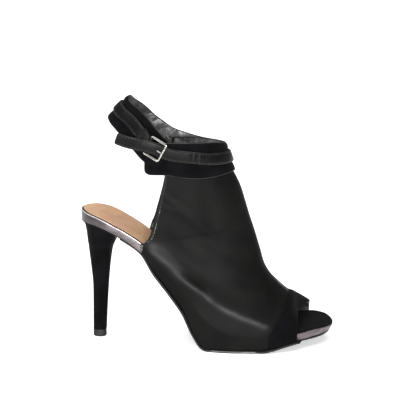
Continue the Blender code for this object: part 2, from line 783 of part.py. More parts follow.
def heel_ring(row, height, shrink=1.0, count=28):
    """One row of the heel: round at the back, squarer at the breast."""
    back, middle, front = (float(to_x(HEEL[key][row])) for key in ("back", "middle", "front"))
    half = HEEL["half"][row] * HALF_BALL * shrink
    ring = []
    for angle in np.linspace(0, 2 * np.pi, count, endpoint=False):
        c, s = np.cos(angle), np.sin(angle)
        power = 1.0 if c < 0 else 0.7
        reach = (middle - back if c < 0 else front - middle) * shrink
        x = middle + np.sign(c) * reach * abs(c) ** power
        y = half * np.sign(s) * abs(s) ** power
        seat = HEEL["seat"][row]
        z = height * (1 - seat) + seat * (float(rand_height(to_share(x))) - GAP)
        ring.append((x, y, z))
    return ring


def add_heel(parts, looks):
    rows = len(HEEL["back"])
    heights = [TIP_HEIGHT + GAP] + [HEEL["height"][k] * SEAT_HEIGHT for k in range(1, rows)]
    rings = [heel_ring(k, heights[k]) for k in range(rows)]
    last = rows - 1
    rings += [heel_ring(last, heights[last], shrink) for shrink in (0.75, 0.5, 0.25)]
    add_object("heel", loft("heel", rings), looks["suede"], parts)
    foot = [(x, y, 0.0) for x, y, _ in heel_ring(0, 0.0)]
    head = [(x, y, TIP_HEIGHT) for x, y, _ in heel_ring(0, 0.0)]
    add_object("heel_tip", loft("heel_tip", [foot, head]), looks["rubber"], parts)


def main():
    for old in list(bpy.data.objects):
        bpy.data.objects.remove(old)
    parts = bpy.data.collections.new("high_heel_sandal")
    bpy.context.scene.collection.children.link(parts)
    looks = {
        "leather": material("leather", (0.014, 0.014, 0.014), 0.42),
        "suede": material("suede", (0.005, 0.005, 0.007), 0.9),
        "rubber": material("rubber", (0.01, 0.01, 0.01), 0.6),
        "pewter": material("pewter", (0.27, 0.24, 0.25), 0.35, 0.7),
        "tan": material("tan", (0.48, 0.29, 0.16), 0.6),
        "nickel": material("nickel", (0.6, 0.6, 0.6), 0.2, 1.0),
    }
    add_sole(parts, looks)
    add_heel(parts, looks)
    add_upper(parts, looks)
    cuff = add_cuff(parts, looks)
    belt = add_belt(parts, looks, cuff)
    add_keeper(parts, looks, belt)
    add_buckle(parts, looks)


main()
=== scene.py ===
"""High heel sandal, right shoe: the looks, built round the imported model.

Metres, +Z up, +X to the toe, the lateral side at -Y, the origin under the ball on the floor. Tables
hold lengths as shares of the named sizes. Each sub-assembly of the shoe is a class below.
"""

import logging
import math
from collections.abc import Callable
from dataclasses import dataclass
from enum import Enum

import bmesh
import bpy
import numpy as np
from bpy.types import Material, Mesh, Node, NodeSocket, NodeTree, Object
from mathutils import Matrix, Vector


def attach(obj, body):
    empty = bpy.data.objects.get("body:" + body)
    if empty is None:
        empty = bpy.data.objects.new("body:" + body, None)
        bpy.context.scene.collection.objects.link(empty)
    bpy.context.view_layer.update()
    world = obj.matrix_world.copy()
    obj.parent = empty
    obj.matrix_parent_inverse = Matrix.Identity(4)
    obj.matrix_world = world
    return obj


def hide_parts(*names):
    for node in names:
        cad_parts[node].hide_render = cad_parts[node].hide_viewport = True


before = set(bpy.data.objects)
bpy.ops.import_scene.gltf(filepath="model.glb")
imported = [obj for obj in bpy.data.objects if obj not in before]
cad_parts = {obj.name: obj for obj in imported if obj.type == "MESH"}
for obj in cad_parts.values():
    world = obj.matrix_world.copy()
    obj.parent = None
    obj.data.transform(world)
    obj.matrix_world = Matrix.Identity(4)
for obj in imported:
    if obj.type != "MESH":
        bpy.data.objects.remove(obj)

LOG = logging.getLogger("sandal")
MM = 0.001
THIN = 0.0001  # less than this counts as nothing


class Slot(Enum):
    """Material slots of the record."""

    LEATHER = "black_leather"
    SUEDE = "black_suede"
    RUBBER = "sole_rubber"
    PEWTER = "pewter_leather"
    TAN = "tan_leather"
    NICKEL = "nickel"


class Relief(Enum):
    """Kinds of fine surface relief."""

    PEBBLE = "tiny rounded cells with valleys between them"
    NAP = "short fibres, a fine cloudy noise"
    CRINKLE = "soft irregular folds"
    SCRATCH = "fine noise drawn out one way"


class Side(Enum):
    """Sides of the shoe, with the sign of Y."""

    LATERAL = -1
    MEDIAL = 1


Array = np.ndarray
Height = Callable[[Array], Array]
Inset = Callable[[Array, Side], Array]
Pair = tuple[float, float]
Triple = tuple[float, float, float]
Colour = tuple[float, float, float, float]
UP = np.array([0, 0, 1.0])
LEFT = np.array([0, 1.0, 0])


# Shape maths


def table(columns: str, *rows: tuple) -> dict[str, Array]:
    """Give rows of numbers as a dictionary of arrays, one for each named column.

    Args:
        columns: names of the columns, with spaces between them.
        rows: one tuple of numbers for each row.

    Returns:
        Arrays by column name.
    """
    return dict(zip(columns.split(), np.array(rows, float).T))


def spans(knots: Array, x: Array) -> tuple[Array, Array, Array]:
    """Find the span of the knots that holds each x.

    Args:
        knots: rising places.
        x: places to look up, held inside the knots.

    Returns:
        Index of each span, all span widths, and the share of the span run through.
    """
    knots = np.asarray(knots, float)
    x = np.clip(x, knots[0], knots[-1])
    i = np.clip(np.searchsorted(knots, x, side="right") - 1, 0, len(knots) - 2)
    width = np.diff(knots)
    return i, width, (x - knots[i]) / width[i]


def smooth(knots: Array, values: Array, x: Array) -> Array:
    """Interpolate with a cubic that never overshoots the values at the knots.

    Each span is a Hermite cubic whose end slopes are weighted harmonic means of the chords' slopes.

    Args:
        knots: rising places.
        values: value at each knot.
        x: places to work out.

    Returns:
        Value at each place.
    """
    i, width, t = spans(knots, x)
    slope = np.diff(values) / width
    tangent = np.zeros(len(values))
    same = slope[:-1] * slope[1:] > 0
    first = 2 * width[1:] + width[:-1]
    second = width[1:] + 2 * width[:-1]
    inside = np.where(same, slope[:-1] * slope[1:], 1.0)
    weighted = first * slope[1:] + second * slope[:-1] + 1e-30
    tangent[1:-1] = np.where(same, (first + second) * inside / weighted, 0)
    tangent[0], tangent[-1] = slope[0], slope[-1]
    left = (1 + 2 * t) * (1 - t) ** 2 * values[i] + t * (1 - t) ** 2 * width[i] * tangent[i]
    right = t**2 * (3 - 2 * t) * values[i + 1] - t**2 * (1 - t) * width[i] * tangent[i + 1]
    return left + right


def flow(knots: Array, values: Array, x: Array) -> Array:
    """Interpolate with the natural cubic spline, whose second slope runs evenly between knots.

    Args:
        knots: rising places.
        values: values at the knots, in one or more columns.
        x: places to work out.

    Returns:
        Values at each place, in the same columns.
    """
    knots = np.asarray(knots, float)
    values = np.asarray(values, float)
    i, width, t = spans(knots, x)
    count = len(knots)
    system = np.eye(count)
    right = np.zeros_like(values)
    for k in range(1, count - 1):
        system[k, k - 1 : k + 2] = width[k - 1], 2 * (width[k - 1] + width[k]), width[k]
        rise = (values[k + 1] - values[k]) / width[k]
        fall = (values[k] - values[k - 1]) / width[k - 1]
        right[k] = 6 * (rise - fall)
    bend = np.linalg.solve(system, right.reshape(count, -1)).reshape(values.shape)
    shape = (-1,) + (1,) * (values.ndim - 1)
    t = np.reshape(t, shape)
    w = np.reshape(width[i], shape)
    curve = ((1 - t) ** 3 - (1 - t)) * bend[i] + (t**3 - t) * bend[i + 1]
    return (1 - t) * values[i] + t * values[i + 1] + w**2 / 6 * curve


def ease(x: Array, start: float, end: float) -> Array:
    """Give 0 before start, 1 after end and a smooth step between: 3tt - 2ttt.

    Args:
        x: places to work out.
        start: where the step starts.
        end: where it ends.

    Returns:
        A share for each place.
    """
    t = np.clip((np.asarray(x) - start) / (end - start), 0, 1)
    return t * t * (3 - 2 * t)


def run_length(line: Array) -> Array:
    """Give the distance run along a line of points, from 0 at its first point."""
    steps = np.linalg.norm(np.diff(line, axis=0), axis=1)
    return np.concatenate([[0], np.cumsum(steps)])


def unit(vectors: Array) -> Array:
    """Give vectors their length 1."""
    return vectors / np.maximum(np.linalg.norm(vectors, axis=-1, keepdims=True), 1e-12)


def normals(grid: Array) -> Array:
    """Give the unit normals of a grid of points, as the cross product of its two directions."""
    return unit(np.cross(np.gradient(grid, axis=0), np.gradient(grid, axis=1)))


def waves(points: Array, size: float, seed: int) -> Array:
    """Give a soft irregular field: a mean of six sines that run in seeded directions.

    Args:
        points: places, in an array whose last axis is x, y, z.
        size: rough distance from crest to crest.
        seed: chooses the directions and phases.

    Returns:
        Values from about -1 to 1 at each place.
    """
    random = np.random.default_rng(seed)
    directions = unit(random.normal(size=(6, 3))) * random.uniform(0.7, 1.4, (6, 1))
    phases = random.uniform(0, 2 * np.pi, 6)
    return np.sin(points @ directions.T * (2 * np.pi / size) + phases).mean(axis=-1) * 2


def read_line(places: Array, run: Array, line: Array) -> Array:
    """Give the points of a line at places along it.

    Args:
        places: where to read.
        run: place of each of the line's points.
        line: the points, or any rows of three numbers.

    Returns:
        One row for each place.
    """
    return np.stack([np.interp(places, run, line[:, axis]) for axis in range(3)], axis=1)


def resample(line: Array, step: float) -> Array:
    """Place points evenly along a line of points, about one step apart."""
    run = run_length(line)
    return read_line(np.linspace(0, run[-1], max(int(run[-1] / step), 2) + 1), run, line)


# Meshes


def grid_faces(columns: int, rows: int, loop_columns: bool, loop_rows: bool) -> Array:
    """Give the quads between neighbours on a grid of points, column by column.

    Args:
        columns: count of points along the first axis.
        rows: count of points along the second axis.
        loop_columns: the last column joins the first one.
        loop_rows: the last row joins the first one.

    Returns:
        Four point numbers for each quad.
    """
    c = np.arange(columns if loop_columns else columns - 1)[:, None]
    r = np.arange(rows if loop_rows else rows - 1)[None]
    after_c = (c + 1) % columns * rows
    after_r = (r + 1) % rows
    quads = [c * rows + r, after_c + r, after_c + after_r, c * rows + after_r]
    return np.stack([np.broadcast_to(q, (c.size, r.size)) for q in quads], axis=-1).reshape(-1, 4)


def sheet_mesh(name: str, grid: Array) -> Mesh:
    """Make an open mesh on a grid of points, facing along the grid's normals.

    Args:
        name: name of the mesh.
        grid: points, as columns by rows by x, y, z.

    Returns:
        The mesh.
    """
    mesh = bpy.data.meshes.new(name)
    faces = grid_faces(grid.shape[0], grid.shape[1], False, False)
    mesh.from_pydata(grid.reshape(-1, 3).tolist(), [], faces.tolist())
    return mesh


def ring_mesh(name: str, rings: Array, loop: bool = False, columns: Array | None = None) -> Mesh:
    """Make a closed mesh through rings of points, with its normals outwards.

    Args:
        name: name of the mesh.
        rings: points, as rings by points by x, y, z.
        loop: the last ring joins the first one; otherwise a face closes each end.
        columns: material number of each strip that runs from ring to ring.

    Returns:
        The mesh, with doubles merged.
    """
    count, size = rings.shape[:2]
    faces = grid_faces(count, size, loop, True).tolist()
    numbers = np.tile(np.zeros(size, int) if columns is None else columns, len(faces) // size)
    numbers = numbers.tolist()
    if not loop:
        faces += [list(range(size))[::-1], list(range((count - 1) * size, count * size))]
        numbers += [0, 0]
    mesh = bpy.data.meshes.new(name)
    mesh.from_pydata(rings.reshape(-1, 3).tolist(), [], faces)
    mesh.polygons.foreach_set("material_index", numbers)
    bm = bmesh.new()
    bm.from_mesh(mesh)
    bmesh.ops.remove_doubles(bm, verts=bm.verts, dist=1e-6)
    bmesh.ops.dissolve_degenerate(bm, edges=bm.edges, dist=1e-7)
    bmesh.ops.recalc_face_normals(bm, faces=bm.faces)
    if bm.calc_volume(signed=True) < 0:
        bmesh.ops.reverse_faces(bm, faces=bm.faces)
    bm.to_mesh(mesh)
    bm.free()
    return mesh


def round_section(radius: float, sides: int = 12) -> Array:
    """Give a circle of points, as side and up."""
    angle = np.linspace(0, 2 * np.pi, sides, endpoint=False)
    return np.stack([np.cos(angle), np.sin(angle)], axis=1) * radius


def oval_section(half_side: float, half_up: float, power: float, count: int = 24) -> Array:
    """Give a rounded rectangle: a circle whose cosine and sine are raised to a power.

    Args:
        half_side: half its size along the side.
        half_up: half its size upwards.
        power: 1 for an ellipse, less for squarer corners.
        count: points.

    Returns:
        Points as side and up.
    """
    angle = np.linspace(0, 2 * np.pi, count, endpoint=False)
    c, s = np.cos(angle), np.sin(angle)
    side = np.sign(c) * np.abs(c) ** power * half_side
    up = np.sign(s) * np.abs(s) ** power * half_up
    return np.stack([side, up], axis=1)


def sweep(line: Array, section: Array, up: Array, loop: bool = False) -> Array:
    """Carry a section along a line.

    A point of a ring is the line's point, plus the section's first number along the side, the cross
    product of the line's direction and up, plus its second number square to both.

    Args:
        line: points of the path.
        section: points of the profile, the same for each ring or one profile for each.
        up: one direction, or one for each point of the path.
        loop: the path closes on itself.

    Returns:
        Rings of points.
    """
    if loop:
        ahead = np.roll(line, -1, axis=0) - np.roll(line, 1, axis=0)
    else:
        ahead = np.gradient(line, axis=0)
    ahead = unit(ahead)
    side = unit(np.cross(ahead, np.broadcast_to(up, line.shape)))
    rise = np.cross(side, ahead)
    section = np.broadcast_to(section, (len(line),) + section.shape[-2:])
    return line[:, None] + section[..., :1] * side[:, None] + section[..., 1:] * rise[:, None]


# Edges sharper than this many degrees stay crisp: on most pieces, on the buckle, on sheets and straps
CRISP = 40
CRISP_BUCKLE = 50
CRISP_SHEET = 60


def add_piece(
    name: str,
    mesh: Mesh,
    finishes: list[Material],
    replaces: str = "",
    angle: float = CRISP,
) -> Object:
    """Link a piece, dress it and let it ride on the shoe.

    Args:
        name: name of the piece.
        mesh: its mesh, in place.
        finishes: its materials, in the order of the faces' numbers.
        replaces: node of the model that it stands for, if any.
        angle: edges sharper than this many degrees stay crisp.

    Returns:
        The object.
    """
    for finish in finishes:
        mesh.materials.append(finish)
    mesh.shade_smooth()
    mesh.set_sharp_from_angle(angle=math.radians(angle))
    piece = bpy.data.objects.new(name, mesh)
    bpy.context.scene.collection.objects.link(piece)
    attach(piece, "root")
    if replaces:
        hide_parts(replaces)
    LOG.info("%s: %d faces", name, len(mesh.polygons))
    return piece


# A wall's cut edge: share of the wall that is rounded off, steps, and the angle that counts as an edge
CUT_ROUNDING = 0.3
CUT_STEPS = 2
CUT_ANGLE = math.radians(60)


def give_wall(piece: Object, wall: float, offset: int, inner: int, rim: int) -> None:
    """Give an open sheet its wall and soften the wall's edges.

    Args:
        piece: object with the open sheet.
        wall: thickness.
        offset: 1 grows along the normals, -1 against them.
        inner: how many materials on the far face is.
        rim: how many materials on the edge is.
    """
    solidify = piece.modifiers.new("wall", "SOLIDIFY")
    solidify.thickness = wall
    solidify.offset = offset
    solidify.use_even_offset = False
    solidify.material_offset = inner
    solidify.material_offset_rim = rim
    bevel = piece.modifiers.new("edge", "BEVEL")
    bevel.width = wall * CUT_ROUNDING
    bevel.segments = CUT_STEPS
    bevel.limit_method = "ANGLE"
    bevel.angle_limit = CUT_ANGLE


# Finishes


def srgb(code: str) -> Colour:
    """Turn a hex colour into linear red, green, blue and alpha, by the curve of the sRGB standard.

    Args:
        code: the colour, such as #ffffff.

    Returns:
        Four numbers from 0 to 1.
    """
    parts = np.array([int(code[k : k + 2], 16) for k in (1, 3, 5)]) / 255
    linear = np.where(parts <= 0.04045, parts / 12.92, ((parts + 0.055) / 1.055) ** 2.4)
    return (*(float(value) for value in linear), 1.0)


def add_node(tree: NodeTree, kind: str, settings: dict, inputs: dict) -> Node:
    """Add one node.

    Args:
        tree: the material's nodes.
        kind: name of the node's type.
        settings: the node's own settings by name.
        inputs: values or linked outputs, by name or number of the socket.

    Returns:
        The node.
    """
    node = tree.nodes.new(kind)
    for key, value in settings.items():
        setattr(node, key, value)
    for key, value in inputs.items():
        if isinstance(value, NodeSocket):
            tree.links.new(value, node.inputs[key])
        else:
            node.inputs[key].default_value = value
    return node


# How many finer layers the noise of clouds, gloss, fine relief and folds has
CLOUD_LAYERS = 4
GLOSS_LAYERS = 3
RELIEF_LAYERS = 3
FOLD_LAYERS = 2.0
GLOSS_CLOUD = 0.6  # size of a blotch of gloss, as a share of a cloud of colour
GLOSS_NOISE = (0.3, 0.7)  # values of the noise that give the least and most roughness
CRINKLE_TWIST = 1.2


@dataclass(frozen=True)
class Finish:
    """A surface: its colours, gloss and relief. Sizes are in millimetres on the real thing."""

    name: str
    colour: str
    second: str
    cloud_mm: float
    roughness: float
    roughness_swing: float = 0.06
    specular: float = 0.5
    metallic: float = 0.0
    coat: float = 0.0
    coat_roughness: float = 0.3
    sheen: float = 0.0
    sheen_roughness: float = 0.5
    relief: Relief = Relief.NAP
    relief_mm: float = 0.5
    relief_depth_mm: float = 0.05
    stretch: Triple = (1.0, 1.0, 1.0)
    folds_mm: float = 0.0
    folds_depth_mm: float = 0.0
    detail: float = 3.0
    contrast: Pair = (0.35, 0.65)

    def build(self) -> Material:
        """Make the material.

        Returns:
            The finished material.
        """
        made = bpy.data.materials.new(self.name)
        made.use_nodes = True
        tree = made.node_tree
        shader = tree.nodes["Principled BSDF"]
        place = add_node(tree, "ShaderNodeTexCoord", {}, {}).outputs["Object"]
        drawn = add_node(tree, "ShaderNodeMapping", {}, {"Vector": place, "Scale": self.stretch})
        drawn = drawn.outputs["Vector"]
        tree.links.new(self.clouds(tree, drawn), shader.inputs["Base Color"])
        tree.links.new(self.gloss(tree, drawn), shader.inputs["Roughness"])
        tree.links.new(self.bumps(tree, place, drawn), shader.inputs["Normal"])
        shader.inputs["Metallic"].default_value = self.metallic
        shader.inputs["Specular IOR Level"].default_value = self.specular
        shader.inputs["Coat Weight"].default_value = self.coat
        shader.inputs["Coat Roughness"].default_value = self.coat_roughness
        shader.inputs["Sheen Weight"].default_value = self.sheen
        shader.inputs["Sheen Roughness"].default_value = self.sheen_roughness
        made.diffuse_color = srgb(self.colour)
        return made

    def noise(self, tree: NodeTree, place: NodeSocket, size_mm: float, detail: float) -> NodeSocket:
        """Add noise whose blotches have the given real size.

        Args:
            tree: the material's nodes.
            place: coordinates.
            size_mm: size of a blotch.
            detail: how many finer layers it has.

        Returns:
            The output that holds its value.
        """
        inputs = {"Vector": place, "Scale": 1 / (size_mm * MM), "Detail": detail}
        return add_node(tree, "ShaderNodeTexNoise", {}, inputs).outputs["Fac"]

    def clouds(self, tree: NodeTree, place: NodeSocket) -> NodeSocket:
        """Mix the two colours by soft clouds.

        Args:
            tree: the material's nodes.
            place: coordinates.

        Returns:
            The output with the colour.
        """
        value = self.noise(tree, place, self.cloud_mm, CLOUD_LAYERS)
        colours = srgb(self.colour), self.second
        return self.lay(tree, *colours, value, self.contrast, shape="SMOOTHSTEP")

    def lay(
        self,
        tree: NodeTree,
        base: NodeSocket | Colour,
        over: str,
        value: NodeSocket,
        span: Pair,
        share: float = 1.0,
        shape: str = "LINEAR",
    ) -> NodeSocket:
        """Lay a colour over another, more of it the further a value has run through a span.

        Args:
            tree: the material's nodes.
            base: the colour below, or the output that holds it.
            over: hex colour to lay on.
            value: output with the value.
            span: where the value starts to count and where it counts in full.
            share: how much of the colour is laid on at most.
            shape: straight or smooth step.

        Returns:
            The output that holds the colour.
        """
        mapped = {"Value": value, "From Min": span[0], "From Max": span[1], "To Max": share}
        mapped = add_node(tree, "ShaderNodeMapRange", {"interpolation_type": shape}, mapped)
        colours = {0: mapped.outputs["Result"], 6: base, 7: srgb(over)}
        return add_node(tree, "ShaderNodeMix", {"data_type": "RGBA"}, colours).outputs[2]

    def gloss(self, tree: NodeTree, place: NodeSocket) -> NodeSocket:
        """Vary the roughness a little from place to place.

        Args:
            tree: the material's nodes.
            place: coordinates.

        Returns:
            The output with the roughness.
        """
        value = self.noise(tree, place, self.cloud_mm * GLOSS_CLOUD, GLOSS_LAYERS)
        inputs = {
            "Value": value,
            "From Min": GLOSS_NOISE[0],
            "From Max": GLOSS_NOISE[1],
            "To Min": self.roughness - self.roughness_swing,
            "To Max": self.roughness + self.roughness_swing,
        }
        return add_node(tree, "ShaderNodeMapRange", {}, inputs).outputs["Result"]

    def bumps(self, tree: NodeTree, place: NodeSocket, drawn: NodeSocket) -> NodeSocket:
        """Add the fine relief and, where the finish has them, its larger folds.

        Args:
            tree: the material's nodes.
            place: plain coordinates.
            drawn: coordinates drawn out one way.

        Returns:
            The bumped normal.
        """
        scale = 1 / (self.relief_mm * MM)
        if self.relief is Relief.PEBBLE:
            settings = {"feature": "DISTANCE_TO_EDGE"}
            inputs = {"Vector": place, "Scale": scale}
            height = add_node(tree, "ShaderNodeTexVoronoi", settings, inputs).outputs["Distance"]
        elif self.relief is Relief.CRINKLE:
            inputs = {"Vector": place, "Scale": scale, "Detail": self.detail}
            inputs["Distortion"] = CRINKLE_TWIST
            height = add_node(tree, "ShaderNodeTexNoise", {}, inputs).outputs["Fac"]
        else:
            vector = drawn if self.relief is Relief.SCRATCH else place
            height = self.noise(tree, vector, self.relief_mm, RELIEF_LAYERS)
        inputs = {"Strength": 1.0, "Distance": self.relief_depth_mm * MM, "Height": height}
        if self.folds_mm:
            settings = {"noise_type": "RIDGED_MULTIFRACTAL"}
            folded = {"Vector": place, "Scale": 1 / (self.folds_mm * MM), "Detail": FOLD_LAYERS}
            fold = add_node(tree, "ShaderNodeTexNoise", settings, folded).outputs["Fac"]
            large = {"Strength": 1.0, "Distance": self.folds_depth_mm * MM, "Height": fold}
            inputs["Normal"] = add_node(tree, "ShaderNodeBump", {}, large).outputs["Normal"]
        return add_node(tree, "ShaderNodeBump", {}, inputs).outputs["Normal"]


@dataclass(frozen=True)
class WornEdge(Finish):
    """A row of rubbed stitches: dark, with the leather beside it worn pale below a height."""

    worn: str = "#6f716b"
    worn_top: float = 0.13
    worn_fade: float = 0.012
    patch_mm: float = 1.6
    patch_layers: float = 1
    push: Pair = (-0.35, 0.1)
    patch_edge: Pair = (0.5, 0.68)

    def clouds(self, tree: NodeTree, place: NodeSocket) -> NodeSocket:
        """Lay the worn colour over the paint towards the floor, broken up by noise.

        Args:
            tree: the material's nodes.
            place: coordinates.

        Returns:
            The output with the colour.
        """
        paint = super().clouds(tree, place)
        height = add_node(tree, "ShaderNodeSeparateXYZ", {}, {"Vector": place}).outputs["Z"]
        broken = self.noise(tree, place, self.patch_mm, self.patch_layers)
        fall = {
            "Value": height,
            "From Min": self.worn_top,
            "From Max": self.worn_top - self.worn_fade,
            "To Min": self.push[0],
            "To Max": self.push[1],
        }
        low = add_node(tree, "ShaderNodeMapRange", {}, fall).outputs["Result"]
        joined = {0: low, 1: broken}
        joined = add_node(tree, "ShaderNodeMath", {"operation": "ADD"}, joined).outputs[0]
        return self.lay(tree, paint, self.worn, joined, self.patch_edge)


@dataclass(frozen=True)
class SeatFoil(Finish):
    """Foil leather of the board, with painted shade: a dark grey laid over the foil round the back of
    the seat.
    """

    # painted shade: the dark grey laid over the foil round the back of the seat
    wear_and_shade: str = "#1d1b1c"
    shade_span: Pair = (-0.07, -0.126)
    shade_share: float = 0.75

    def clouds(self, tree: NodeTree, place: NodeSocket) -> NodeSocket:
        """Lay the dark grey of painted shade over the foil towards the back.

        Args:
            tree: the material's nodes.
            place: coordinates.

        Returns:
            The output with the colour.
        """
        foil = super().clouds(tree, place)
        x = add_node(tree, "ShaderNodeSeparateXYZ", {}, {"Vector": place}).outputs["X"]
        start, end = self.shade_span
        span = start * self.stretch[0], end * self.stretch[0]
        return self.lay(tree, foil, self.wear_and_shade, x, span, self.shade_share)


@dataclass(frozen=True)
class InsoleLeather(Finish):
    """Smooth lining leather of the insole: tan with pink and yellow patches and a few dark rubs."""

    pink: str = "#c59a85"
    pink_mm: float = 17
    pink_layers: float = 2
    pink_edge: Pair = (0.45, 0.7)
    pink_share: float = 0.8
    rub: str = "#9a765c"
    rub_mm: float = 3.5
    rub_layers: float = 3
    rub_stretch: Triple = (0.25, 1.6, 0.6)
    rub_edge: Pair = (0.6, 0.75)
    rub_share: float = 0.55

    def clouds(self, tree: NodeTree, place: NodeSocket) -> NodeSocket:
        """Lay pink patches and long dark rubs over the tan clouds.

        Args:
            tree: the material's nodes.
            place: coordinates.

        Returns:
            The output with the colour.
        """
        tan = super().clouds(tree, place)
        patch = self.noise(tree, place, self.pink_mm, self.pink_layers)
        tan = self.lay(tree, tan, self.pink, patch, self.pink_edge, self.pink_share)
        long = {"Vector": place, "Scale": self.rub_stretch}
        long = add_node(tree, "ShaderNodeMapping", {}, long).outputs["Vector"]
        mark = self.noise(tree, long, self.rub_mm, self.rub_layers)
        return self.lay(tree, tan, self.rub, mark, self.rub_edge, self.rub_share)


@dataclass(frozen=True)
class PolishedCalf(Finish):
    """Calf polished along the ridge that walking leaves over the sole, and duller away from it.

    The ridge is a curve of Z over X in millimetres; the polish fades out over a reach that is wide
    near the heel and narrow at the ball, and is full within the core's share of it.
    """

    dull: float = 0.56
    core: float = 0.2
    reach_mm: Pair = (13.0, 6.5)
    reach_x_mm: Pair = (-58.0, -30.0)
    ridge: tuple[Pair, ...] = (
        (-90, 92),
        (-66, 83),
        (-54, 73),
        (-44, 63.5),
        (-29, 52.5),
        (-19, 43.5),
        (-9, 37.5),
        (1, 33.5),
        (20, 26),
        (50, 15),
    )

    def gloss(self, tree: NodeTree, place: NodeSocket) -> NodeSocket:
        """Raise the roughness away from the ridge.

        Args:
            tree: the material's nodes.
            place: coordinates.

        Returns:
            The output with the roughness.
        """
        polished = super().gloss(tree, place)
        parts = add_node(tree, "ShaderNodeSeparateXYZ", {}, {"Vector": place}).outputs
        points = np.array(self.ridge)
        low, high = points.min(axis=0), points.max(axis=0)
        along = {"Value": parts["X"], "From Min": low[0] * MM, "From Max": high[0] * MM}
        along = add_node(tree, "ShaderNodeMapRange", {}, along).outputs["Result"]
        curve = add_node(tree, "ShaderNodeFloatCurve", {}, {"Value": along})
        knots = curve.mapping.curves[0].points
        shares = (points - low) / (high - low)
        knots[0].location, knots[1].location = shares[0], shares[-1]
        for share in shares[1:-1]:
            knots.new(*share)
        curve.mapping.update()
        line = {"Value": curve.outputs["Value"], "To Min": low[1] * MM, "To Max": high[1] * MM}
        line = add_node(tree, "ShaderNodeMapRange", {}, line).outputs["Result"]
        away = {0: parts["Z"], 1: line}
        away = add_node(tree, "ShaderNodeMath", {"operation": "SUBTRACT"}, away).outputs[0]
        away = add_node(tree, "ShaderNodeMath", {"operation": "ABSOLUTE"}, {0: away}).outputs[0]
        reach = {
            "Value": parts["X"],
            "From Min": self.reach_x_mm[0] * MM,
            "From Max": self.reach_x_mm[1] * MM,
            "To Min": self.reach_mm[0] * MM,
            "To Max": self.reach_mm[1] * MM,
        }
        reach = add_node(tree, "ShaderNodeMapRange", {}, reach).outputs["Result"]
        share = {0: away, 1: reach}
        share = add_node(tree, "ShaderNodeMath", {"operation": "DIVIDE"}, share).outputs[0]
        share = {"Value": share, "From Min": self.core, "From Max": 1.0}
        share = add_node(tree, "ShaderNodeMapRange", {"interpolation_type": "SMOOTHSTEP"}, share)
        rough = {0: share.outputs["Result"], 2: polished, 3: self.dull}
        return add_node(tree, "ShaderNodeMix", {"data_type": "FLOAT"}, rough).outputs[0]


# Smooth box calf: a thin even film of pigment gives a soft broad gloss over a very fine grain. The
# grain is drawn at 0.9 mm, about twice its real size, so that it breaks up the gloss in the render.
CALF = PolishedCalf(
    name="smooth_black_calf",
    colour="#060606",
    second="#0a0a09",
    cloud_mm=22,
    roughness=0.34,
    roughness_swing=0.03,
    specular=0.07,
    relief=Relief.PEBBLE,
    relief_mm=0.9,
    relief_depth_mm=0.02,
)
# The same calf on the belt, where bending has opened the grain
BELT_CALF = Finish(
    name="creased_black_calf",
    colour="#080808",
    second="#0d0d0c",
    cloud_mm=9,
    roughness=0.38,
    specular=0.07,
    relief=Relief.PEBBLE,
    relief_mm=0.9,
    relief_depth_mm=0.03,
    folds_mm=16,
    folds_depth_mm=0.35,
)
# Kid suede: a dense short nap that swallows light and glows a little at its edges
SUEDE = Finish(
    name="black_kid_suede",
    colour="#050506",
    second="#09090b",
    cloud_mm=14,
    roughness=0.92,
    roughness_swing=0.04,
    specular=0.045,
    sheen=0.018,
    sheen_roughness=0.4,
    relief_mm=0.7,
    relief_depth_mm=0.12,
)
# Coated lining leather: plastic film over soft skin, shiny along its crinkles
LINING = Finish(
    name="crinkled_coated_lining",
    colour="#1c1c1d",
    second="#484848",
    cloud_mm=9,
    roughness=0.4,
    specular=0.75,
    coat=0.1,
    coat_roughness=0.35,
    relief=Relief.CRINKLE,
    relief_mm=10,
    relief_depth_mm=2.0,
    detail=0.8,
    folds_mm=22,
    folds_depth_mm=1.1,
)
# Metallic foil on leather, wrapped round the insole board: satin, streaked along the wrap, darkened by
# painted shade round the back of the seat
PEWTER = SeatFoil(
    name="pewter_foil_leather",
    colour="#4e4748",
    second="#665d60",
    cloud_mm=5,
    roughness=0.42,
    roughness_swing=0.08,
    metallic=0.5,
    relief=Relief.CRINKLE,
    relief_mm=1.6,
    relief_depth_mm=0.08,
    stretch=(0.35, 1.0, 1.0),
)
# The foil rolled over the edge of the board, in a much paler colour than the foil: a painted highlight
# along the rolled edge
PIPING_HIGHLIGHT = Finish(
    name="rolled_foil_painted_highlight",
    colour="#cdc8c5",
    second="#a39b99",
    cloud_mm=12,
    roughness=0.3,
    metallic=0.6,
    relief_mm=3,
    relief_depth_mm=0.03,
)
# Vegetable tanned sheepskin of the insole, dry and slightly stained
INSOLE = InsoleLeather(
    name="tan_sheep_lining",
    colour="#bd9375",
    second="#c6a37b",
    cloud_mm=9,
    roughness=0.62,
    specular=0.3,
    relief=Relief.PEBBLE,
    relief_mm=0.8,
    relief_depth_mm=0.015,
)
# Moulded rubber sole, satin and faintly dusty
RUBBER = Finish(
    name="moulded_black_rubber",
    colour="#0f0f10",
    second="#1a1a1a",
    cloud_mm=12,
    roughness=0.62,
    specular=0.25,
    relief=Relief.SCRATCH,
    relief_mm=0.8,
    relief_depth_mm=0.08,
    stretch=(0.2, 1.0, 1.0),
)
# Pale line just under the outsole's top edge: a painted highlight of the rubber's edge
SOLE_EDGE_HIGHLIGHT = Finish(
    name="sole_edge_painted_highlight",
    colour="#5a5957",
    second="#7c7a78",
    cloud_mm=16,
    roughness=0.5,
    relief_depth_mm=0.03,
)
# Edge paint on the upper's cut edges
EDGE = Finish(
    name="painted_cut_edge",
    colour="#0b0b0b",
    second="#121212",
    cloud_mm=6,
    roughness=0.6,
    specular=0.12,
    relief_mm=0.6,
    relief_depth_mm=0.08,
)
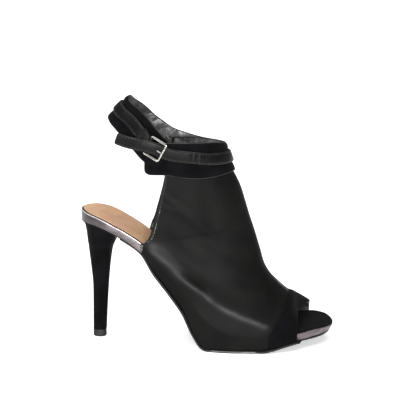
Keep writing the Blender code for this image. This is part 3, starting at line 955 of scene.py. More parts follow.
# Sunk seam inside the quarter's bound edge, rubbed pale near the heel
RUBBED_SEAM = WornEdge(
    name="rubbed_quarter_seam",
    colour="#0d0d0d",
    second="#161616",
    cloud_mm=6,
    roughness=0.6,
    specular=0.12,
    relief_mm=0.6,
    relief_depth_mm=0.08,
)
# Cut edges of the straps: dark edge paint clouded with a lighter grey, which is a painted highlight
# along the edge
STRAP_EDGE_HIGHLIGHT = Finish(
    name="strap_edge_painted_highlight",
    colour="#121211",
    second="#2a2927",
    cloud_mm=10,
    roughness=0.5,
    specular=0.2,
    relief_mm=0.5,
    relief_depth_mm=0.05,
)
# Pressed seam down the front, pale grey: a painted highlight along the front contour
FRONT_SEAM_HIGHLIGHT = Finish(
    name="front_seam_painted_highlight",
    colour="#41413f",
    second="#6a6a67",
    cloud_mm=14,
    roughness=0.45,
    relief_mm=0.6,
    relief_depth_mm=0.04,
)
THREAD = Finish(
    name="black_bonded_thread",
    colour="#1d1d1d",
    second="#2a2a2a",
    cloud_mm=3,
    roughness=0.5,
    specular=0.4,
    relief=Relief.SCRATCH,
    relief_mm=0.3,
    relief_depth_mm=0.04,
    stretch=(1.0, 1.0, 3.0),
)
# Seamless white paper under the shoe, matte and all but flat
PAPER = Finish(
    name="white_paper",
    colour="#fafafa",
    second="#f9f9f9",
    cloud_mm=400,
    roughness=0.9,
    specular=0.1,
    relief_depth_mm=0.005,
)
# Die-cast buckle under bright nickel plate, finely scratched by wear
NICKEL = Finish(
    name="plated_nickel",
    colour="#a8a6a1",
    second="#85827c",
    cloud_mm=5,
    roughness=0.18,
    roughness_swing=0.05,
    metallic=1.0,
    relief=Relief.SCRATCH,
    relief_mm=0.6,
    relief_depth_mm=0.01,
    stretch=(0.3, 1.0, 1.0),
)


# The last, which gives every piece its place


@dataclass(frozen=True)
class Last:
    """Sizes of the shoe and the heights and widths along it. Along runs from 0, back, to 1, toe."""

    length: float = 0.2122
    seat_height: float = 0.1122
    platform: float = 0.0145
    toe_spring: float = 0.009
    half_ball: float = 0.038
    collar: float = 0.172
    origin_share: float = 0.6206
    fit: float = 0.0007
    gap: float = 0.0003
    upper_wall: float = 0.0016
    band_wall: float = 0.0012
    outsole_wall: float = 0.0022
    outsole_lip: float = 0.0006
    sole_tuck: float = 0.0018
    toe_skew: float = 0.047
    edge_break: float = 0.0006
    slope_step: float = 0.004
    slope_squared_limit: float = 5
    outsole_share: float = 0.8
    lean_span: Pair = (0.26, 0.45)

    def to_x(self, along: Array) -> Array:
        """Turn a share of the length into X."""
        return (np.asarray(along, float) - self.origin_share) * self.length

    def to_share(self, x: Array) -> Array:
        """Turn X into a share of the length."""
        return np.asarray(x, float) / self.length + self.origin_share

    def spots(self, along: Array, y: Array, z: Array) -> Array:
        """Turn shares of the length, the half ball width and the collar height into points."""
        return np.stack([self.to_x(along), y * self.half_ball, z * self.collar], axis=1)

    def bed(self, along: Array) -> Array:
        """Give the height of the footbed's top: platform, plus rise and toe from the table."""
        rise = smooth(BED["along"], BED["rise"], along) * (self.seat_height - self.platform)
        toe = smooth(BED["along"], BED["toe"], along) * self.toe_spring
        return self.platform + rise + toe

    def under(self, along: Array) -> Array:
        """Give the height of the outsole's underside."""
        height = smooth(UNDER["along"], UNDER["height"], along) * self.seat_height
        return height + smooth(UNDER["along"], UNDER["toe"], along) * self.toe_spring

    def rand(self, along: Array) -> Array:
        """Give the height of the footbed's underside."""
        return self.bed(along) - smooth(RAND["along"], RAND["depth"], along) * self.platform

    def steepness(self, height: Height, along: Array) -> Array:
        """Give upright thickness for each unit of real thickness: the root of 1 + slope squared.

        Args:
            height: height by place.
            along: places along the shoe.

        Returns:
            A factor for each place.
        """
        step = self.slope_step
        slope = (height(along + step) - height(along - step)) / (2 * step * self.length)
        return np.sqrt(1 + np.minimum(slope**2, self.slope_squared_limit))

    def sole_top(self, along: Array) -> Array:
        """Give the height of the outsole's top, held under the footbed."""
        upright = self.outsole_wall * self.steepness(self.under, along) * self.outsole_share
        full = self.under(along) + upright
        return np.minimum(full, self.rand(along) - self.gap * self.steepness(self.bed, along))

    def centre(self, along: Array) -> Array:
        """Give the Y of the footbed's middle line."""
        return smooth(PLAN["along"], PLAN["centre"], along) * self.half_ball

    def half_width(self, along: Array, side: Side) -> Array:
        """Give the footbed's half width, the root of its interpolated square, round at the ends.

        Args:
            along: places along the shoe.
            side: side of the shoe.

        Returns:
            Half width at each place.
        """
        squared = smooth(PLAN["along"], PLAN[side.name.lower()] ** 2, along)
        return np.sqrt(np.maximum(squared, 0)) * self.half_ball

    def tuck(self, along: Array, height: Array) -> Array:
        """Give how far the side leans in at a height: a share of the depth below the footbed.

        Args:
            along: places along the shoe.
            height: heights at those places.

        Returns:
            Distance inwards.
        """
        depth = np.maximum(self.bed(along) - self.under(along), THIN)
        share = np.clip((self.bed(along) - height) / depth, 0, 1)
        return self.sole_tuck * ease(along, *self.lean_span) * share

    def outline(self, count: int, start: float = 0.0, end: float = 1.0) -> dict[Side, Array]:
        """Give both sides of the footbed's outline, with points closer together at the ends.

        Args:
            count: points on each side.
            start: first place along the shoe.
            end: last place along the shoe.

        Returns:
            For each side, rows of x, y and the two parts of the outward direction.
        """
        turn = np.linspace(0, np.pi, count)
        along = start + (end - start) * (1 - np.cos(turn)) / 2
        sides = {}
        for side in Side:
            x = self.to_x(along)
            y = self.centre(along) + side.value * self.half_width(along, side)
            ahead = unit(np.stack([np.gradient(x, turn), np.gradient(y, turn)], axis=1))
            outward = np.stack([-ahead[:, 1], ahead[:, 0]], axis=1) * side.value
            sides[side] = np.concatenate([np.stack([x, y], axis=1), outward], axis=1)
        return sides


PLAN = table(
    "along lateral medial centre",
    (0.000, 0.000, 0.000, 0.000),
    (0.060, 0.605, 0.605, 0.000),
    (0.130, 0.711, 0.711, 0.000),
    (0.256, 0.690, 0.670, 0.000),
    (0.338, 0.680, 0.580, -0.020),
    (0.409, 0.730, 0.570, -0.030),
    (0.479, 0.850, 0.620, -0.030),
    (0.550, 0.955, 0.740, -0.010),
    (0.621, 0.995, 0.875, 0.010),
    (0.715, 0.990, 0.940, 0.040),
    (0.809, 0.915, 0.850, 0.100),
    (0.863, 0.830, 0.750, 0.140),
    (0.927, 0.670, 0.610, 0.180),
    (0.965, 0.510, 0.470, 0.200),
    (1.000, 0.000, 0.000, 0.210),
)
BED = table(
    "along rise toe",
    (0.000, 1.000, 0.00),
    (0.046, 0.982, 0.00),
    (0.093, 0.951, 0.00),
    (0.140, 0.902, 0.00),
    (0.187, 0.845, 0.00),
    (0.256, 0.744, 0.00),
    (0.338, 0.552, 0.00),
    (0.409, 0.357, 0.00),
    (0.479, 0.182, 0.00),
    (0.550, 0.060, 0.00),
    (0.621, 0.008, 0.00),
    (0.691, 0.000, 0.00),
    (0.861, 0.000, 0.00),
    (0.930, 0.000, 0.20),
    (0.970, 0.000, 0.17),
    (1.000, 0.000, 0.00),
)
UNDER = table(
    "along height toe",
    (0.140, 0.839, 0.00),
    (0.187, 0.789, 0.00),
    (0.248, 0.701, 0.00),
    (0.297, 0.557, 0.00),
    (0.357, 0.404, 0.00),
    (0.409, 0.266, 0.00),
    (0.449, 0.112, 0.00),
    (0.489, 0.012, 0.00),
    (0.508, 0.000, 0.00),
    (0.715, 0.000, 0.00),
    (0.762, 0.000, 0.16),
    (0.809, 0.000, 0.44),
    (0.861, 0.000, 0.70),
    (0.930, 0.000, 0.86),
    (1.000, 0.000, 1.00),
)
RAND = table(
    "along depth",
    (0.000, 0.640),
    (0.083, 0.480),
    (0.170, 0.450),
    (0.256, 0.540),
    (0.409, 0.520),
    (0.550, 0.430),
    (0.861, 0.440),
    (0.930, 0.420),
    (1.000, 0.300),
)
# Sections of the upper, from the peep toe back and up to the collar, in the shares of the last
SECTIONS = table(
    "foot lift top rise lateral medial seam wrap full",
    (0.857, 0.000, 0.877, 0.173, 0.000, 0.000, 0.14, 1, 2.3),
    (0.805, 0.000, 0.854, 0.205, 0.000, 0.000, 0.12, 1, 2.2),
    (0.750, 0.000, 0.826, 0.240, 0.000, 0.000, 0.10, 1, 2.1),
    (0.658, 0.000, 0.784, 0.290, 0.000, 0.000, 0.08, 1, 2.1),
    (0.564, 0.000, 0.750, 0.336, 0.000, 0.000, 0.06, 1, 2.1),
    (0.470, 0.000, 0.727, 0.386, 0.000, 0.000, 0.04, 1, 2.1),
    (0.376, 0.000, 0.708, 0.459, 0.000, 0.000, 0.03, 1, 2.1),
    (0.300, 0.000, 0.692, 0.529, 0.000, 0.000, 0.02, 1, 2.1),
    (0.251, 0.000, 0.679, 0.580, 0.000, 0.000, 0.01, 1, 2.2),
    (0.282, 0.061, 0.670, 0.613, 0.000, 0.005, 0.00, 0, 2.2),
    (0.305, 0.176, 0.649, 0.698, 0.012, 0.042, 0.00, 0, 2.2),
    (0.326, 0.306, 0.628, 0.779, 0.022, 0.080, 0.00, 0, 2.2),
    (0.348, 0.461, 0.592, 0.866, 0.037, 0.123, 0.00, 0, 2.2),
    (0.357, 0.550, 0.572, 0.930, 0.053, 0.150, 0.00, 0, 2.2),
    (0.364, 0.632, 0.559, 0.990, 0.053, 0.168, 0.00, 0, 2.2),
    (0.367, 0.700, 0.547, 1.060, 0.053, 0.168, 0.00, 0, 2.2),
)
HEEL = table(
    "back middle front half height seat",
    (0.0370, 0.0630, 0.0890, 0.142, 0.000, 0.00),
    (0.0378, 0.0650, 0.0925, 0.145, 0.125, 0.00),
    (0.0392, 0.0700, 0.1015, 0.162, 0.383, 0.00),
    (0.0338, 0.0710, 0.1085, 0.195, 0.535, 0.00),
    (0.0290, 0.0715, 0.1140, 0.252, 0.624, 0.00),
    (0.0257, 0.0715, 0.1205, 0.330, 0.695, 0.00),
    (0.0230, 0.0760, 0.1325, 0.435, 0.749, 0.00),
    (0.0180, 0.0900, 0.1460, 0.545, 0.790, 0.40),
    (0.0115, 0.1080, 0.1570, 0.630, 0.838, 0.75),
    (0.0045, 0.1270, 0.1650, 0.690, 0.850, 1.00),
)
WING = table(
    "low low_y low_z high high_y high_z",
    (0.272, -0.855, 0.856, 0.272, -0.855, 1.008),
    (0.310, -0.850, 0.855, 0.310, -0.850, 1.010),
)
BACK_WING = table(
    "low low_y low_z high high_y high_z",
    (0.272, 0.803, 0.933, 0.310, 0.780, 1.058),
    (0.215, 0.740, 0.983, 0.279, 0.737, 1.089),
    (0.161, 0.566, 1.040, 0.241, 0.579, 1.142),
    (0.126, 0.290, 1.083, 0.213, 0.290, 1.179),
    (0.115, 0.000, 1.097, 0.205, 0.000, 1.201),
    (0.124, -0.270, 1.084, 0.211, -0.270, 1.183),
    (0.161, -0.592, 1.050, 0.248, -0.500, 1.154),
    (0.220, -0.735, 0.977, 0.298, -0.690, 1.099),
    (0.267, -0.740, 0.913, 0.347, -0.700, 1.029),
    (0.319, -0.700, 0.872, 0.385, -0.685, 0.980),
)
CUFF_ON_UPPER = table(
    "across low high",
    (-0.97, 0.853, 1.012),
    (-0.60, 0.835, 1.010),
    (-0.30, 0.842, 1.001),
    (0.00, 0.846, 0.984),
    (0.30, 0.833, 0.979),
    (0.60, 0.834, 0.985),
    (0.97, 0.880, 1.020),
)
BELT_ON_CUFF = table(
    "run across",
    (0.850, 0.55),
    (0.780, 0.52),
    (0.700, 0.50),
    (0.600, 0.50),
    (0.500, 0.50),
    (0.420, 0.50),
    (0.340, 0.52),
    (0.270, 0.50),
    (0.200, 0.52),
    (0.150, 0.58),
)
BELT_START = table(
    "along y z",
    (0.2830, -0.945, 1.0220),
    (0.2720, -0.925, 1.0400),
    (0.2540, -0.880, 1.0640),
)
BELT_END = table(
    "along y z",
    (0.3660, -0.942, 0.9600),
    (0.3440, -0.971, 0.9700),
    (0.3150, -1.008, 0.9880),
    (0.2830, -1.026, 1.0010),
    (0.2430, -1.005, 1.0085),
    (0.2060, -0.968, 1.0170),
    (0.1680, -0.934, 1.0320),
)


# The sole


@dataclass(frozen=True)
class Sole:
    """Outsole, insole board, its piping, and the two insoles."""

    last: Last
    rubber: Material
    edge_highlight: Material
    pewter: Material
    piping: Material
    tan: Material
    suede: Material
    paint: Material
    stations: int = 150
    sock_wall: float = 0.001
    sock_inset: float = 0.0016
    sock_join: float = 0.685
    sole_end: float = 0.9985
    sole_round: float = 0.0005
    board_round: float = 0.0007
    sock_round: float = 0.0004
    round_steps: int = 5
    points_across: int = 14
    piping_start: float = 0.31
    piping_inset: float = 0.0004
    piping_radius: float = 0.0005
    shade_cord_inset: float = 0.0014
    shade_cord_drop: float = -0.0007
    shade_cord_radius: float = 0.0005
    fold_radius: float = 0.0004
    cord_step: float = 0.0012
    cord_sides: int = 10
    sole_line_span: Pair = (0.53, 0.70)
    sole_line_drop: float = 0.0004
    sole_line_sink: float = 0.0001
    sole_line_radius: float = 0.0003
    sole_line_step: float = 0.0015
    rand_end: Pair = (-0.0775, -0.0615)
    rand_start: float = 0.03
    heel_front: float = 0.168
    cover_start: float = 0.24
    cover_full: float = 0.30
    cover_end: float = 0.865
    cover_gone: float = 0.885
    band_start: float = 0.70
    band_full: float = 0.745

    def shell_inset(self, along: Array, side: Side) -> Array:
        """Give the outsole's inset from the footbed; it is negative where the upper wraps it.

        Args:
            along: places along the shoe.
            side: side of the shoe.

        Returns:
            Inset at each place.
        """
        last = self.last
        skew = last.toe_skew if side is Side.MEDIAL else 0.0
        open_toe = ease(along, self.cover_end + skew, self.cover_gone + skew)
        covered = ease(along, self.cover_start, self.cover_full) * (1 - open_toe)
        banded = ease(along, self.band_start, self.band_full) * (1 - open_toe)
        out = (last.fit + last.upper_wall + last.outsole_lip) * covered
        return last.edge_break * (1 - covered) - out - (last.band_wall + last.gap) * banded

    def flush(self, along: Array, side: Side) -> Array:
        """Give the inset of a layer that keeps the outline."""
        return np.zeros_like(along)

    def sock_edge(self, along: Array, side: Side) -> Array:
        """Give the inset of the heel insole."""
        return np.full_like(along, self.sock_inset)

    def sock_under(self, along: Array) -> Array:
        """Give the height of the insoles' underside, a gap over the footbed."""
        return self.last.bed(along) + self.last.gap * self.last.steepness(self.last.bed, along)

    def sock_top(self, along: Array) -> Array:
        """Give the height of the insoles' top."""
        return self.sock_under(along) + self.sock_wall

    def layer(
        self,
        name: str,
        start: float,
        end: float,
        top: Height,
        bottom: Height,
        inset: Inset,
        edge: float,
    ) -> Mesh:
        """Make one layer of the sole.

        Each ring runs up the lateral side, over the top, down the medial side and back under. A side
        point lies on the outline moved inwards by the inset, the lean and the rounding of the edge.

        Args:
            name: name of the mesh.
            start: first place along the shoe.
            end: last place along the shoe.
            top: height of the top by place.
            bottom: height of the underside by place.
            inset: inset from the outline by place and side.
            edge: radius of the rounded edges.

        Returns:
            A closed mesh.
        """
        last = self.last
        sides = last.outline(self.stations, start, end)
        bend = np.linspace(0, np.pi / 2, self.round_steps)
        inward = np.concatenate([1 - np.sin(bend), 1 - np.cos(bend)]) * edge
        share = np.concatenate([1 - np.cos(bend), np.sin(bend) - 1]) * edge
        is_top = np.arange(2 * self.round_steps) >= self.round_steps
        walls = {}
        for side, rows in sides.items():
            along = last.to_share(rows[:, 0])
            height = np.where(is_top, top(along)[:, None], bottom(along)[:, None])
            move = inward + inset(along, side)[:, None] + last.tuck(along[:, None], height)
            flat = rows[:, None, :2] - rows[:, None, 2:] * move[:, :, None]
            walls[side] = flat, self.heights(flat[..., 0], is_top, share, top, bottom)
        across = np.linspace(0, 1, self.points_across)[1:-1]
        lateral, medial = walls[Side.LATERAL], walls[Side.MEDIAL]
        rings = [np.dstack(lateral)]
        rings.append(self.bridge(lateral[0][:, -1], medial[0][:, -1], across, top))
        rings.append(np.dstack(medial)[:, ::-1])
        rings.append(self.bridge(medial[0][:, 0], lateral[0][:, 0], across, bottom))
        return ring_mesh(name, np.concatenate(rings, axis=1))

    def heights(self, x: Array, is_top: Array, share: Array, top: Height, bottom: Height) -> Array:
        """Give the heights of a side wall's points.

        Args:
            x: place of each point.
            is_top: which points belong to the top edge.
            share: height of each point over the underside, or under the top.
            top: height of the top by place.
            bottom: height of the underside by place.

        Returns:
            Height of each point.
        """
        along = self.last.to_share(x)
        high, low = top(along), bottom(along)
        limit = np.maximum((high - low) / 2, 0)
        moved = np.sign(share) * np.minimum(np.abs(share), limit)
        return np.where(is_top, high, low) + moved

    def bridge(self, start: Array, end: Array, across: Array, height: Height) -> Array:
        """Give the points between two side walls, at the height of their own place.

        Args:
            start: points of the first wall's edge.
            end: points of the second wall's edge.
            across: shares of the way between them.
            height: height by place.

        Returns:
            Points as rows along the shoe by places across.
        """
        flat = start[:, None] + (end - start)[:, None] * across[None, :, None]
        return np.dstack([flat, height(self.last.to_share(flat[..., 0]))])

    def edge_line(self, inset: float, drop: float, height: Height) -> Array:
        """Give a line round the heel end of the footbed.

        Args:
            inset: how far in from the outline.
            drop: how far below the height.
            height: height by place.

        Returns:
            Points from the lateral side round the back to the medial side.
        """
        sides = self.last.outline(self.stations, 0.0, self.piping_start)
        lines = []
        for side in Side:
            rows = sides[side]
            flat = rows[:, :2] - rows[:, 2:] * inset
            tall = height(self.last.to_share(flat[:, 0])) - drop
            lines.append(np.column_stack([flat, tall]))
        return np.vstack([lines[0][::-1], lines[1][1:]])

    def sole_highlight_lines(self) -> list[Array]:
        """Give the fine line on each side of the outsole, just under its top edge, that carries a
        painted highlight.
        """
        lines = []
        for side, rows in self.last.outline(self.stations, *self.sole_line_span).items():
            along = self.last.to_share(rows[:, 0])
            tall = self.last.sole_top(along) - self.sole_line_drop
            move = self.shell_inset(along, side) + self.last.tuck(along, tall) + self.sole_line_sink
            flat = rows[:, :2] - rows[:, 2:] * move[:, None]
            lines.append(np.column_stack([flat, tall]))
        return lines

    def build(self) -> None:
        """Make every layer and its edge lines."""
        last = self.last
        join = self.sock_join + last.gap / last.length
        outsole = (self.heel_front, self.sole_end, last.sole_top, last.under)
        heel_sock = (0, self.sock_join, self.sock_top, self.sock_under)
        toe_sock = (join, 1, self.sock_top, self.sock_under)
        outsole += (self.shell_inset, self.sole_round)
        board = (0, 1, last.bed, last.rand, self.flush, self.board_round)
        heel_sock += (self.sock_edge, self.sock_round)
        toe_sock += (self.flush, self.sock_round)
        layers = (
            ("outsole_shell", outsole, self.rubber, Slot.RUBBER, "outsole"),
            ("insole_board", board, self.pewter, Slot.PEWTER, "footbed"),
            ("heel_insole", heel_sock, self.tan, Slot.TAN, "heel_sock"),
            ("toe_insole", toe_sock, self.suede, Slot.SUEDE, "toe_sock"),
        )
        for name, shape, finish, slot, node in layers:
            mesh = self.layer(name, *shape)
            finishes = [finish]
            if node == "footbed":
                mesh.polygons.foreach_set("material_index", self.hidden_faces(mesh))
                finishes.append(self.paint)
            add_piece(name, mesh, finishes, node)
        # the piping cord's pale colour is a painted highlight along the board's rolled edge
        piping = self.edge_line(self.piping_inset, 0.0, last.bed)
        # a dark cord laid over the insole's side: painted shade in the gap between the piping and the
        # insole
        gap_shade = self.edge_line(self.shade_cord_inset, self.shade_cord_drop, last.bed)
        fold = self.edge_line(self.piping_inset, 0.0, last.rand)
        lines = (
            ("seat_piping", piping, self.piping_radius, self.piping, Slot.PEWTER),
            ("seat_gap_painted_shade", gap_shade, self.shade_cord_radius, self.paint, Slot.PEWTER),
            ("board_under_fold", fold, self.fold_radius, self.suede, Slot.SUEDE),
        )
        for name, line, radius, finish, slot in lines:
            self.add_cord(name, resample(line, self.cord_step), radius, finish)
        # the pale cords along the outsole's top edge are a painted highlight
        for number, line in enumerate(self.sole_highlight_lines()):
            name = f"sole_edge_line_{number + 1}"
            line = resample(line, self.sole_line_step)
            self.add_cord(name, line, self.sole_line_radius, self.edge_highlight)

    def hidden_faces(self, mesh: Mesh) -> Array:
        """Find the faces between the ends of the bare rand, where the upper wraps the board.

        Args:
            mesh: the insole board.

        Returns:
            For each face 1 if it is hidden, else 0.
        """
        middles = np.empty(len(mesh.polygons) * 3)
        mesh.polygons.foreach_get("center", middles)
        x, y = middles[0::3], middles[1::3]
        end = np.where(y < 0, *self.rand_end)
        return ((x > end) & (x < self.rand_start)).astype(int)

    def add_cord(self, name: str, line: Array, radius: float, finish: Material) -> None:
        """Add a thin round line along the sole's edge.

        Args:
            name: name of the piece.
            line: its points.
            radius: half its thickness.
            finish: its material.
        """
        rings = sweep(line, round_section(radius, self.cord_sides), UP)
        add_piece(name, ring_mesh(name, rings), [finish])


@dataclass(frozen=True)
class Stiletto:
    """Covered heel and its rubber top piece."""

    last: Last
    suede: Material
    rubber: Material
    tip_height: float = 0.006
    tip_steps: tuple[Pair, ...] = ((0.0, 0.95), (0.0003, 1.0), (0.0056, 1.0))
    tip_top: float = 0.97
    seat_cap: tuple[float, ...] = (0.8, 0.5, 0.2)
    breast_power: float = 0.7
    stations: int = 70
    sides: int = 72

    def ring(self, row: Array, height: float, shrink: float = 1.0) -> Array:
        """Give one ring of the heel: round at the back, squarer at the breast.

        Args:
            row: back, middle, front, half width, height and seat share, as in the table.
            height: height over the floor where the ring doesn't follow the seat.
            shrink: size of the ring, as a share.

        Returns:
            Points of the ring.
        """
        last = self.last
        back, middle, front = (float(last.to_x(value)) for value in row[:3])
        angle = np.linspace(0, 2 * np.pi, self.sides, endpoint=False)
        c, s = np.cos(angle), np.sin(angle)
        power = np.where(c < 0, 1.0, self.breast_power)
        reach = np.where(c < 0, middle - back, front - middle) * shrink
        x = middle + np.sign(c) * reach * np.abs(c) ** power
        y = row[3] * last.half_ball * shrink * np.sign(s) * np.abs(s) ** power
        seat = last.rand(last.to_share(x)) - last.gap
        return np.stack([x, y, height * (1 - row[5]) + row[5] * seat], axis=1)

    def build(self) -> None:
        """Make the heel and the top piece."""
        last = self.last
        rows = np.stack(list(HEEL.values()), axis=1)
        places = np.linspace(0, len(rows) - 1, self.stations)
        index = np.arange(len(rows))
        fine = np.stack([smooth(index, column, places) for column in rows.T], axis=1)
        heights = np.maximum(fine[:, 4] * last.seat_height, self.tip_height + last.gap)
        rings = [self.ring(row, height) for row, height in zip(fine, heights)]
        rings += [self.ring(fine[-1], heights[-1], shrink) for shrink in self.seat_cap]
        rings = np.array(rings)
        add_piece("stiletto", ring_mesh("stiletto", rings), [self.suede], "heel")
        steps = (*self.tip_steps, (self.tip_height, self.tip_top))
        tip = np.array([self.ring(fine[0], height, shrink) for height, shrink in steps])
        add_piece("top_piece", ring_mesh("top_piece", tip), [self.rubber], "heel_tip")


# The upper


@dataclass(frozen=True)
class Crease:
    """A soft line pressed into the leather: its points in X and Z millimetres, depth and width."""

    side: Side
    points: tuple[Pair, ...]
    depth_mm: float
    width_mm: float
    fade: float = 0.25
    tail: float = 0.75
    shoulder: float = 0.45
    shoulder_place: float = 1.9

    def relief(self, places: Array) -> Array:
        """Give how far the leather moves outwards at each place.

        With d the distance to the line in widths, the move is the depth times the bell curve of d,
        less a low shoulder beside it, faded out towards the line's ends.

        Args:
            places: points of the leather.

        Returns:
            Distance along the normal, in metres.
        """
        line = np.array(self.points) * MM
        flat = places[..., [0, 2]]
        start, step = line[:-1], np.diff(line, axis=0)
        length = np.linalg.norm(step, axis=1)
        away = flat[..., None, :] - start
        share = np.clip((away * step).sum(-1) / length**2, 0, 1)
        distance = np.linalg.norm(away - share[..., None] * step, axis=-1)
        nearest = distance.argmin(axis=-1)[..., None]
        run = np.concatenate([[0], np.cumsum(length)[:-1]]) + share * length
        run = np.take_along_axis(run, nearest, -1)[..., 0] / length.sum()
        d = np.take_along_axis(distance, nearest, -1)[..., 0] / (self.width_mm * MM)
        fade = ease(run, 0.0, self.fade) * (1 - ease(run, self.tail, 1.0))
        bell = np.exp(-(d**2)) - self.shoulder * np.exp(-((d - self.shoulder_place) ** 2))
        here = places[..., 1] * self.side.value > 0
        return self.depth_mm * MM * bell * fade * here


LATERAL, MEDIAL = Side.LATERAL, Side.MEDIAL
CREASES = (
    Crease(LATERAL, ((-66, 120), (-38, 98), (-12, 82), (12, 71), (30, 62)), -0.4, 5.5),
    Crease(LATERAL, ((-60, 118), (-48.5, 118.8), (-30.5, 105.6), (-14, 92)), 0.5, 3.2),
    Crease(LATERAL, ((-62, 132), (-55, 126), (-46, 121)), 0.45, 2.0),
    Crease(LATERAL, ((24, 68), (27, 65), (33, 58.7), (37, 55)), 0.5, 1.4),
    Crease(
        LATERAL,
        ((-80, 89), (-71, 81), (-57, 69), (-47, 60), (-34, 50), (-20, 40)),
        2.0,
        8.5,
        fade=0.2,
    ),
    Crease(
        LATERAL,
        ((-50, 68), (-29, 50.4), (-4.4, 35.8), (21.9, 24.9), (42, 17)),
        0.8,
        6.5,
        shoulder=0.3,
    ),
    Crease(LATERAL, ((-30, 140), (-22, 118), (-18, 96)), -0.3, 6.0),
    Crease(MEDIAL, ((-64, 116), (-36, 99), (-10, 84), (14, 70), (28, 63)), -0.7, 5.0),
    Crease(MEDIAL, ((-58, 128), (-44, 114), (-26, 104)), 0.4, 3.0),
    Crease(MEDIAL, ((-10, 58), (12, 46), (32, 37)), -0.4, 5.0),
    Crease(MEDIAL, ((-34, 142), (-24, 120), (-20, 98)), -0.3, 6.0),
)


